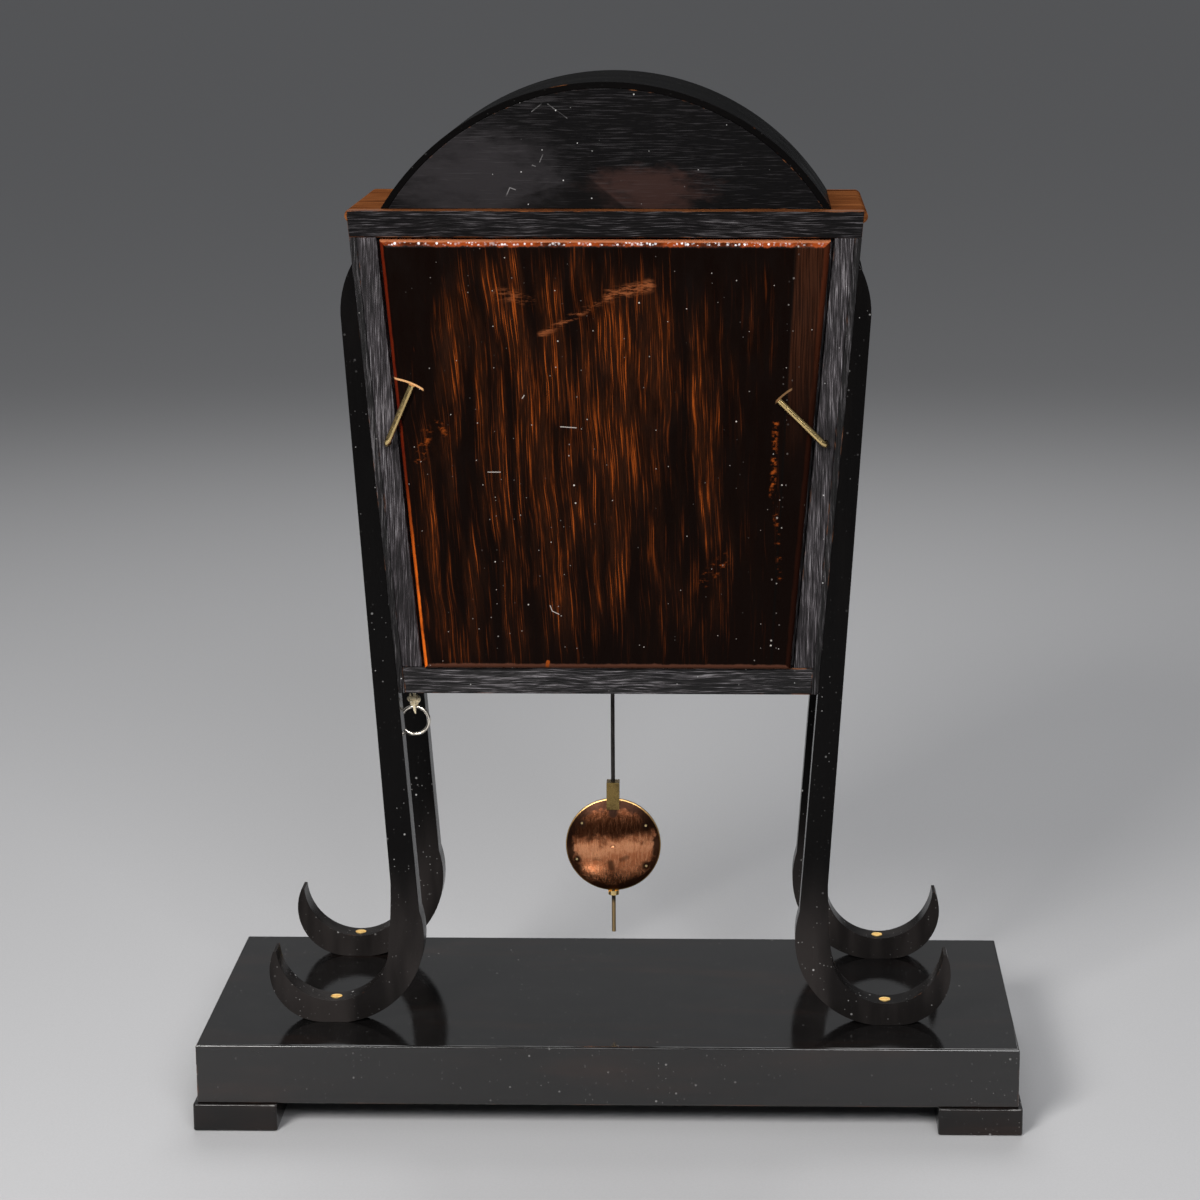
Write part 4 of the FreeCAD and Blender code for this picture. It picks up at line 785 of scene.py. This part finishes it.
def bobCopper(look=bobLook):
    # beaten copper: dark round its edge and its pins, with painted shade over the top and a painted reflection
    # in a bright band across the middle
    material, tree, shader = newMaterial("bobCopper")
    place = objectPlace(tree)
    x, z = axes(tree, place)[::2]
    midX, midZ = look["middle"]
    dx, dz = minus(tree, x, midX), minus(tree, z, midZ)
    away = calc(tree, "SQRT", squares(tree, dx, dz))
    brush = grainNoise(tree, place, "z", 0.10, 1300.0, 3.0, 0.6)
    cloud = noise(tree, place, 130.0, 5.0, 0.65, 0.4)
    pits = grainNoise(tree, place, "z", 0.5, 700.0, 3.0, 0.6)
    shift = fromMiddle(tree, cloud, 0.012)
    slope = plus(tree, dz, times(tree, dx, look["lean"]))
    # painted reflection: a bright band of pale copper across the middle
    paintedReflectionBand = spread(tree, unsigned(tree, plus(tree, slope, look["reflectionBandDrop"], shift)), 0.0012, 0.0042, 1.0, 0.0)
    colour = blend(tree, spread(tree, brush, 0.40, 0.66, 0.0, 0.7), look["copper"], look["pale"])
    colour = blend(tree, times(tree, paintedReflectionBand, spread(tree, pits, 0.36, 0.58, 0.35, 0.9)), colour, look["pale"])
    # painted shade: the top of the bob darkened
    above = spread(tree, plus(tree, slope, times(tree, shift, 1.6)), -0.0004, 0.0070, 0.0, 0.93)
    colour = blend(tree, above, colour, look["tan"])
    rim = spread(tree, plus(tree, away, times(tree, shift, 1.3)), 0.0182, 0.0212)
    blot = times(tree, spread(tree, away, 0.003, 0.012), spread(tree, cloud, 0.58, 0.72, 0.0, 0.7))
    stain = most(tree, times(tree, rim, 0.92), blot)
    pins = 0.0
    reach = look["radius"] * look["pinReach"]
    pinStain = spread(tree, cloud, 0.3, 0.5, 0.6, 0.95)
    for angle in look["pins"]:
        turn = math.radians(angle)
        pinX, pinZ = midX + reach * math.cos(turn), midZ + reach * math.sin(turn)
        ring = capsule(tree, x, z, (pinX, pinZ), (pinX, pinZ - 0.0006), 0.0010, 0.0024)
        stain = most(tree, stain, times(tree, ring, pinStain))
        head = capsule(tree, x, z, (pinX, pinZ), (pinX, pinZ - 0.0001), look["pinRadius"], 0.0002)
        pins = most(tree, pins, head)
    for start, end, wide, share in look["blots"]:
        stain = most(tree, stain, times(tree, capsule(tree, x, z, start, end, wide, 0.0018), share))
    rubbed = capsule(tree, x, z, *look["rubbed"], 0.0008, 0.0046)
    rubbed = times(tree, rubbed, spread(tree, pits, 0.30, 0.55, 0.55, 0.9))
    stain = times(tree, stain, minus(tree, 1.0, rubbed))
    colour = blend(tree, stain, colour, look["patina"])
    colour = blend(tree, pins, colour, look["pin"])
    colour = blend(tree, spread(tree, away, 0.02345, 0.0236), colour, look["brassRim"])
    rough = plus(tree, spread(tree, brush, 0.3, 0.7, 0.20, 0.30, False), times(tree, stain, 0.12))
    rough = minus(tree, rough, times(tree, rubbed, 0.10), clamp=True)
    height = plus(tree, brush, times(tree, pits, 0.6))
    dress(tree, shader, colour, rough, (height, 0.22, 0.0003), metallic=1.0)
    return material


def darkSteel(name, colour, rough, metallic=1.0, tip=None):
    material, tree, shader = newMaterial(name)
    place = objectPlace(tree)
    cloud = noise(tree, place, 260.0, 5.0, 0.6)
    tint = blend(tree, spread(tree, cloud, 0.4, 0.7), colour, tuple(part * 0.45 for part in colour))
    if tip:
        # the threaded end has lost its colour
        level, bare = tip
        below = spread(tree, axes(tree, place)[2], level - 0.004, level, 1.0, 0.0)
        tint = blend(tree, below, tint, bare)
    dull = spread(tree, cloud, 0.3, 0.7, rough, rough + 0.18, False)
    dress(tree, shader, tint, dull, (cloud, 0.1, 0.0003), metallic=metallic)
    return material


enamelLook = {"white": (0.82, 0.80, 0.73), "ivory": (0.72, 0.68, 0.58), "speck": (0.30, 0.24, 0.17)}


def dialEnamel(look=enamelLook):
    material, tree, shader = newMaterial("dialEnamel")
    place = objectPlace(tree)
    cloud = noise(tree, place, 28.0, 4.0, 0.6)
    dots = times(tree, specks(tree, place, 160.0, 0.07, 0.1), 0.5)
    colour = blend(tree, spread(tree, cloud, 0.4, 0.75), look["white"], look["ivory"])
    colour = blend(tree, dots, colour, look["speck"])
    rough = spread(tree, cloud, 0.3, 0.7, 0.14, 0.24, False)
    dress(tree, shader, colour, rough, (noise(tree, place, 90.0, 2.0, 0.5), 0.05, 0.0004))
    return material


def clearGlass():
    material, tree, shader = newMaterial("clearGlass")
    smear = noise(tree, objectPlace(tree), 30.0, 4.0, 0.6)
    dress(tree, shader, (0.97, 0.985, 0.98, 1.0), spread(tree, smear, 0.5, 0.8, 0.0, 0.035))
    shader.inputs["Transmission Weight"].default_value = 1.0
    shader.inputs["IOR"].default_value = 1.46
    return material


cottonLook = {"dark": (0.76, 0.60, 0.34), "pale": (0.94, 0.84, 0.60), "fuzz": (0.95, 0.88, 0.70)}


def cottonCord(look=cottonLook):
    material, tree, shader = newMaterial("cottonCord")
    place = objectPlace(tree)
    node = tree.nodes.new("ShaderNodeTexWave")
    node.bands_direction = "DIAGONAL"
    node.inputs["Scale"].default_value = 620.0
    node.inputs["Distortion"].default_value = 2.0
    plug(tree, node.inputs["Vector"], place)
    lay = node.outputs["Fac"]
    fuzz = noise(tree, place, 1800.0, 4.0, 0.6)
    colour = blend(tree, lay, look["dark"], look["pale"])
    colour = blend(tree, spread(tree, fuzz, 0.4, 0.7, 0.0, 0.35), colour, look["fuzz"])
    dress(tree, shader, colour, 0.85, (plus(tree, lay, times(tree, fuzz, 0.5)), 0.5, 0.0003))
    shader.inputs["Sheen Weight"].default_value = 0.3
    return material


brass = agedMetal("agedBrass", (0.74, 0.53, 0.23), (0.26, 0.15, 0.06), 0.22, 0.45)
screwBrass = agedMetal("screwBrass", (0.95, 0.66, 0.24), (0.50, 0.30, 0.10), 0.42, 0.30, scale=300.0)
wireBrass = agedMetal("wireBrass", (0.76, 0.56, 0.25), (0.42, 0.28, 0.11), 0.16, 0.35, scale=70.0, dents=0.0)
ferruleBrass = agedMetal("ferruleBrass", (0.24, 0.165, 0.058), (0.060, 0.040, 0.018), 0.24, 0.85, ("z", 0.06))
paleBrass = agedMetal("paleBrass", (0.90, 0.84, 0.74), (0.66, 0.52, 0.38), 0.18, 0.35, scale=80.0, dents=0.0)
plateBrass = agedMetal("plateBrass", (0.74, 0.54, 0.25), (0.36, 0.22, 0.09), 0.3, 0.35, ("x", 0.05), 60.0)
brightSteel = darkSteel("brightSteel", (0.50, 0.50, 0.51), 0.25)
rodSteel = darkSteel("rodSteel", (0.040, 0.036, 0.034), 0.34, tip=(0.0925, (0.36, 0.25, 0.12)))
bluedSteel = darkSteel("bluedSteel", (0.022, 0.034, 0.115), 0.22)
blackIron = darkSteel("blackIron", (0.035, 0.034, 0.034), 0.5, 0.3)
cotton = cottonCord()
cord.data.materials.append(cotton)
cordKnot.data.materials.append(cotton)
print("finishes made")


# what each node left as it is gets

def coat(node, material):
    for slot in nodes[node].material_slots:
        slot.material = material


for material, group in (
    (screwBrass, ("leg_screws",)),
    (wireBrass, ("left_catch", "right_catch", "rating_nut")),
    (brass, ("bezel_ring", "bezel_hinge")),
    (plateBrass, ("front_plate", "back_plate", "plate_pillars", "going_barrel", "strike_barrel", "centre_wheel",
                  "third_wheel", "escape_wheel", "minute_wheel", "hour_wheel", "pin_wheel", "fly",
                  "suspension_cock")),
    (ferruleBrass, ("bob_ferrule",)),
    (paleBrass, ("pull_ring",)),
    (brightSteel, ("going_arbor", "strike_arbor", "anchor", "hammer", "gong", "repeat_lever", "repeat_bracket",
                   "movement_brackets")),
    (rodSteel, ("pendulum_rod",)),
    (bluedSteel, ("hour_hand", "minute_hand")),
    (blackIron, ("gong_stand",)),
    (bobCopper(), ("pendulum_bob",)),
    (dialEnamel(), ("dial",)),
    (clearGlass(), ("bezel_glass",)),
    (streakedDoor(), ("back_door",)),
):
    for node in group:
        coat(node, material)


# wooden boards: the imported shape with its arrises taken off, so that edges catch light and wear

boardLook = {
    "weld": 2e-6,
    "flat": 0.3,  # degrees between faces that are one face
    "sharp": 28.0,  # degrees from which an edge is eased
    "rounds": 2,
    "levelJoint": 1e-4,
}


def finishMesh(name, mesh, body, smoothAngle=40.0):
    piece = placed(name, mesh)
    shadeSmooth(mesh)
    mesh.set_sharp_from_angle(angle=math.radians(smoothAngle))
    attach(piece, body)
    return piece


def easedBoard(node, width, material, joint=None, look=boardLook):
    work = bmesh.new()
    work.from_mesh(nodes[node].data)
    bmesh.ops.remove_doubles(work, verts=work.verts, dist=look["weld"])
    bmesh.ops.dissolve_limit(work, angle_limit=math.radians(look["flat"]), verts=work.verts, edges=work.edges)
    rub = work.faces.layers.float.new("edge")
    least = math.radians(look["sharp"])
    sharp = [edge for edge in work.edges if edge.is_manifold and edge.calc_face_angle(0.0) > least]
    if joint:
        # edges in a level joint stay sharp, so that the joint doesn't show
        sharp = [edge for edge in sharp
                 if max(abs(vert.co.z - joint) for vert in edge.verts) > look["levelJoint"]]
    made = bmesh.ops.bevel(work, geom=sharp, offset=width, offset_type="OFFSET", segments=look["rounds"],
                           profile=0.5, affect="EDGES", clamp_overlap=True)
    for face in made["faces"]:
        face[rub] = 1.0
    mesh = bpy.data.meshes.new(node + "_board")
    work.to_mesh(mesh)
    work.free()
    mesh.materials.clear()
    mesh.materials.append(material)
    piece = finishMesh(node + "_board", mesh, bodyOf[node])
    # broad faces set the shading, so that they stay flat up to their eased edges
    weigh = piece.modifiers.new("weigh", "WEIGHTED_NORMAL")
    weigh.keep_sharp = True
    weigh.weight = 100
    bpy.context.view_layer.update()
    piece.data = evaluatedMesh(piece)
    piece.modifiers.remove(weigh)
    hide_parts(node)


plinthPolish = blackPolish("plinthPolish", "x", worn=1.0, dusty=0.25, shine=0.75, mirror=True)
endPolish = blackPolish("endPolish", "y", worn=0.3, dusty=0.25, shine=0.6)
footPolish = blackPolish("footPolish", "x", dustyLook, worn=0.55, dusty=0.4)
legPolish = blackPolish("legPolish", "z", legLook, worn=0.2, dusty=0.9, shine=0.05)
casePolish = blackPolish("casePolish", "z", worn=0.3, dusty=0.4)
roofPolish = blackPolish("roofPolish", "x", legLook, worn=0.1, dusty=0.1, shine=0.0015)
archGrain = openGrain("archGrain", "x", worn=0.3, pale=0.14, relief=0.12, shine=0.03, patch=archPatch)
stileGrain = openGrain("stileGrain", "z", stileLook, worn=0.25, wavy=0.003)
railGrain = openGrain("railGrain", "x", worn=0.45, wavy=0.004)
sideGrain = openGrain("sideGrain", "z", worn=0.4, wavy=0.003, pale=0.55)
plainTop = plainWood("plainTop")
plainRail = plainWood("plainRail", True)

boards = (
    # finish, width of the eased edge, slot, nodes
    (plinthPolish, 0.0007, "ebonised_wood", ("plinth_top", "plinth_front_rail", "plinth_back_rail")),
    (endPolish, 0.0007, "ebonised_wood", ("plinth_left_rail", "plinth_right_rail")),
    (footPolish, 0.0007, "ebonised_wood", ("block_feet",)),
    (legPolish, 0.0008, "ebonised_wood",
     ("front_left_leg", "front_right_leg", "rear_left_leg", "rear_right_leg")),
    (sideGrain, 0.0005, "ebonised_wood", ("case_left_side", "case_right_side")),
    (casePolish, 0.0005, "ebonised_wood", ("case_bottom", "front_board")),
    (railGrain, 0.0005, "ebonised_wood", ("bottom_rail",)),
    (stileGrain, 0.0005, "ebonised_wood", ("left_stile", "right_stile")),
    (archGrain, 0.0004, "ebonised_wood", ("arch_back",)),
    (casePolish, 0.0004, "ebonised_wood", ("arch_front",)),
    (roofPolish, 0.0004, "ebonised_wood", ("arch_roof",)),
    (plainTop, 0.0004, "plain_wood", ("case_top",)),
    (plainRail, 0.0004, "plain_wood", ("top_rail",)),
)
plinthJoint = min(vert.co.z for vert in nodes["plinth_top"].data.vertices)
for material, width, slotName, group in boards:
    for node in group:
        easedBoard(node, width, material, plinthJoint if node.startswith("plinth") else None)
print("boards eased:", sum(len(group) for *rest, group in boards))


# what is painted on the dial: figures 1 to 12, and a track of minute bars

dialPaint = {
    "middle": (0.0, 0.328),
    "face": -0.0565,  # Y of the dial's front
    "figureReach": 0.0575,
    "figureSize": 0.0165,
    "lift": 0.00006,
    "barReach": 0.0694,
    # name, count, width and length
    "bars": (("minuteBars", 60, (0.00035, 0.0026)), ("hourBars", 12, (0.00095, 0.0036))),
}


def onDial(mesh, look):
    # from the drawing plane to the dial's front, read from the front
    middle = Vector((look["middle"][0], look["face"] - look["lift"], look["middle"][1]))
    mesh.transform(Matrix.Translation(middle) @ Matrix.Rotation(math.pi / 2, 4, "X"))
    return mesh


def dialFigures(look):
    work = bmesh.new()
    for hour in range(1, 13):
        curve = bpy.data.curves.new("figure", "FONT")
        curve.body = str(hour)
        curve.size = look["figureSize"]
        curve.extrude = look["lift"]
        curve.resolution_u = 6
        text = placed("figure", curve)
        mesh = evaluatedMesh(text)
        low = Vector([min(vert.co[axis] for vert in mesh.vertices) for axis in range(3)])
        high = Vector([max(vert.co[axis] for vert in mesh.vertices) for axis in range(3)])
        turn = math.radians(30 * hour)
        spot = Vector((look["figureReach"] * math.sin(turn), look["figureReach"] * math.cos(turn), 0.0))
        mesh.transform(Matrix.Translation(spot - (low + high) / 2))
        work.from_mesh(mesh)
        bpy.data.objects.remove(text)
        bpy.data.curves.remove(curve)
        bpy.data.meshes.remove(mesh)
    bmesh.ops.remove_doubles(work, verts=work.verts, dist=1e-7)
    bmesh.ops.recalc_face_normals(work, faces=work.faces)
    mesh = bpy.data.meshes.new("dialFigures")
    work.to_mesh(mesh)
    work.free()
    return onDial(mesh, look)


def addNode(tree, kind, **values):
    node = tree.nodes.new(kind)
    for name, value in values.items():
        setattr(node, name, value)
    return node


def barTree():
    # bars set round a circle, each turned to point at its middle
    tree = bpy.data.node_groups.new("barTrack", "GeometryNodeTree")
    keys = {}
    for name, kind in (("Count", "Int"), ("Reach", "Float"), ("Size", "Vector"), ("Paint", "Material")):
        socket = tree.interface.new_socket(name, in_out="INPUT", socket_type="NodeSocket" + kind)
        keys[name] = socket.identifier
    tree.interface.new_socket("Geometry", in_out="OUTPUT", socket_type="NodeSocketGeometry")
    start = addNode(tree, "NodeGroupInput")
    end = addNode(tree, "NodeGroupOutput")
    circle = addNode(tree, "GeometryNodeMeshCircle", fill_type="NONE")
    bar = addNode(tree, "GeometryNodeMeshCube")
    place = addNode(tree, "GeometryNodeInputPosition")
    aim = addNode(tree, "FunctionNodeAlignEulerToVector", axis="Y", pivot_axis="Z")
    copies = addNode(tree, "GeometryNodeInstanceOnPoints")
    real = addNode(tree, "GeometryNodeRealizeInstances")
    paint = addNode(tree, "GeometryNodeSetMaterial")
    for source, output, target, entry in (
        (start, "Count", circle, "Vertices"), (start, "Reach", circle, "Radius"), (start, "Size", bar, "Size"),
        (start, "Paint", paint, "Material"), (circle, "Mesh", copies, "Points"),
        (bar, "Mesh", copies, "Instance"),
        (place, "Position", aim, "Vector"), (aim, "Rotation", copies, "Rotation"),
        (copies, "Instances", real, "Geometry"), (real, "Geometry", paint, "Geometry"),
        (paint, "Geometry", end, "Geometry"),
    ):
        tree.links.new(source.outputs[output], target.inputs[entry])
    return tree, keys


def barRing(name, tree, keys, count, size, look, material):
    piece = placed(name, bpy.data.meshes.new(name))
    modifier = piece.modifiers.new("bars", "NODES")
    modifier.node_group = tree
    modifier[keys["Count"]] = count
    modifier[keys["Reach"]] = look["barReach"]
    modifier[keys["Size"]] = (*size, 2 * look["lift"])
    modifier[keys["Paint"]] = material
    bpy.context.view_layer.update()
    mesh = evaluatedMesh(piece)
    bpy.data.objects.remove(piece)
    return onDial(mesh, look)


blackPaint = blackPolish("blackPaint", "x", worn=0.0, dusty=0.0)
figures = dialFigures(dialPaint)
figures.materials.append(blackPaint)
paints = [("dialFigures", figures)]
trackTree, trackKeys = barTree()
for name, count, size in dialPaint["bars"]:
    paints.append((name, barRing(name, trackTree, trackKeys, count, size, dialPaint, blackPaint)))
for name, mesh in paints:
    finishMesh(name, mesh, "case", 30.0)
print("dial painted")


# stage: pale floor and soft studio light

stageLook = {
    "floor": (0.46, 0.46, 0.47),
    "floorShade": 0.965,
    "floorReach": 60.0,
    "floorLevel": -0.0002,
    "wall": (0.050, 0.051, 0.053),
    "ceiling": (0.185, 0.188, 0.193),
    "wallTop": (0.10, 0.26),  # sine of the heights between which the wall turns into ceiling
}
lamps = (
    # name, place, height aimed at, width, watts, degrees of spread, colour
    ("key", (0.76, 1.62, 1.22), 0.24, 0.6, 16.5, 110.0, (1.0, 0.985, 0.96)),
    ("fill", (-0.50, 1.85, 1.25), 0.25, 0.7, 8.4, 110.0, (0.99, 0.99, 1.0)),
    ("top", (0.0, -1.5, 2.0), 0.25, 1.4, 11.5, 120.0, (1.0, 1.0, 1.0)),
)


def setFloor(look):
    mesh = bpy.data.meshes.new("floor")
    reach, level = look["floorReach"], look["floorLevel"]
    corners = [(-reach, -reach, level), (reach, -reach, level), (reach, reach, level), (-reach, reach, level)]
    mesh.from_pydata(corners, [], [(0, 1, 2, 3)])
    floor = placed("floor", mesh)
    material, tree, shader = newMaterial("paleFloor")
    grit = spread(tree, noise(tree, objectPlace(tree), 900.0, 2.0, 0.5), 0.3, 0.7)
    shade = tuple(part * look["floorShade"] for part in look["floor"])
    dress(tree, shader, blend(tree, grit, look["floor"], shade), 0.8, shine=0.2)
    mesh.materials.append(material)


def setRoom(look):
    world = bpy.data.worlds.new("studio")
    scene.world = world
    world.use_nodes = True
    tree = world.node_tree
    height = axes(tree, tree.nodes.new("ShaderNodeTexCoord").outputs["Generated"])[2]
    colour = blend(tree, spread(tree, height, *look["wallTop"]), look["wall"], look["ceiling"])
    plug(tree, tree.nodes["Background"].inputs["Color"], colour)


setFloor(stageLook)
setRoom(stageLook)
for name, place, aimHeight, width, watts, spreadAngle, colour in lamps:
    data = bpy.data.lights.new(name, "AREA")
    data.shape = "RECTANGLE"
    data.size = data.size_y = width
    data.energy = watts
    data.spread = math.radians(spreadAngle)
    data.color = colour
    lamp = placed(name, data)
    lamp.location = place
    aim = Vector((0.0, 0.0, aimHeight)) - Vector(place)
    lamp.rotation_euler = aim.to_track_quat("-Z", "Y").to_euler()
print("stage set")
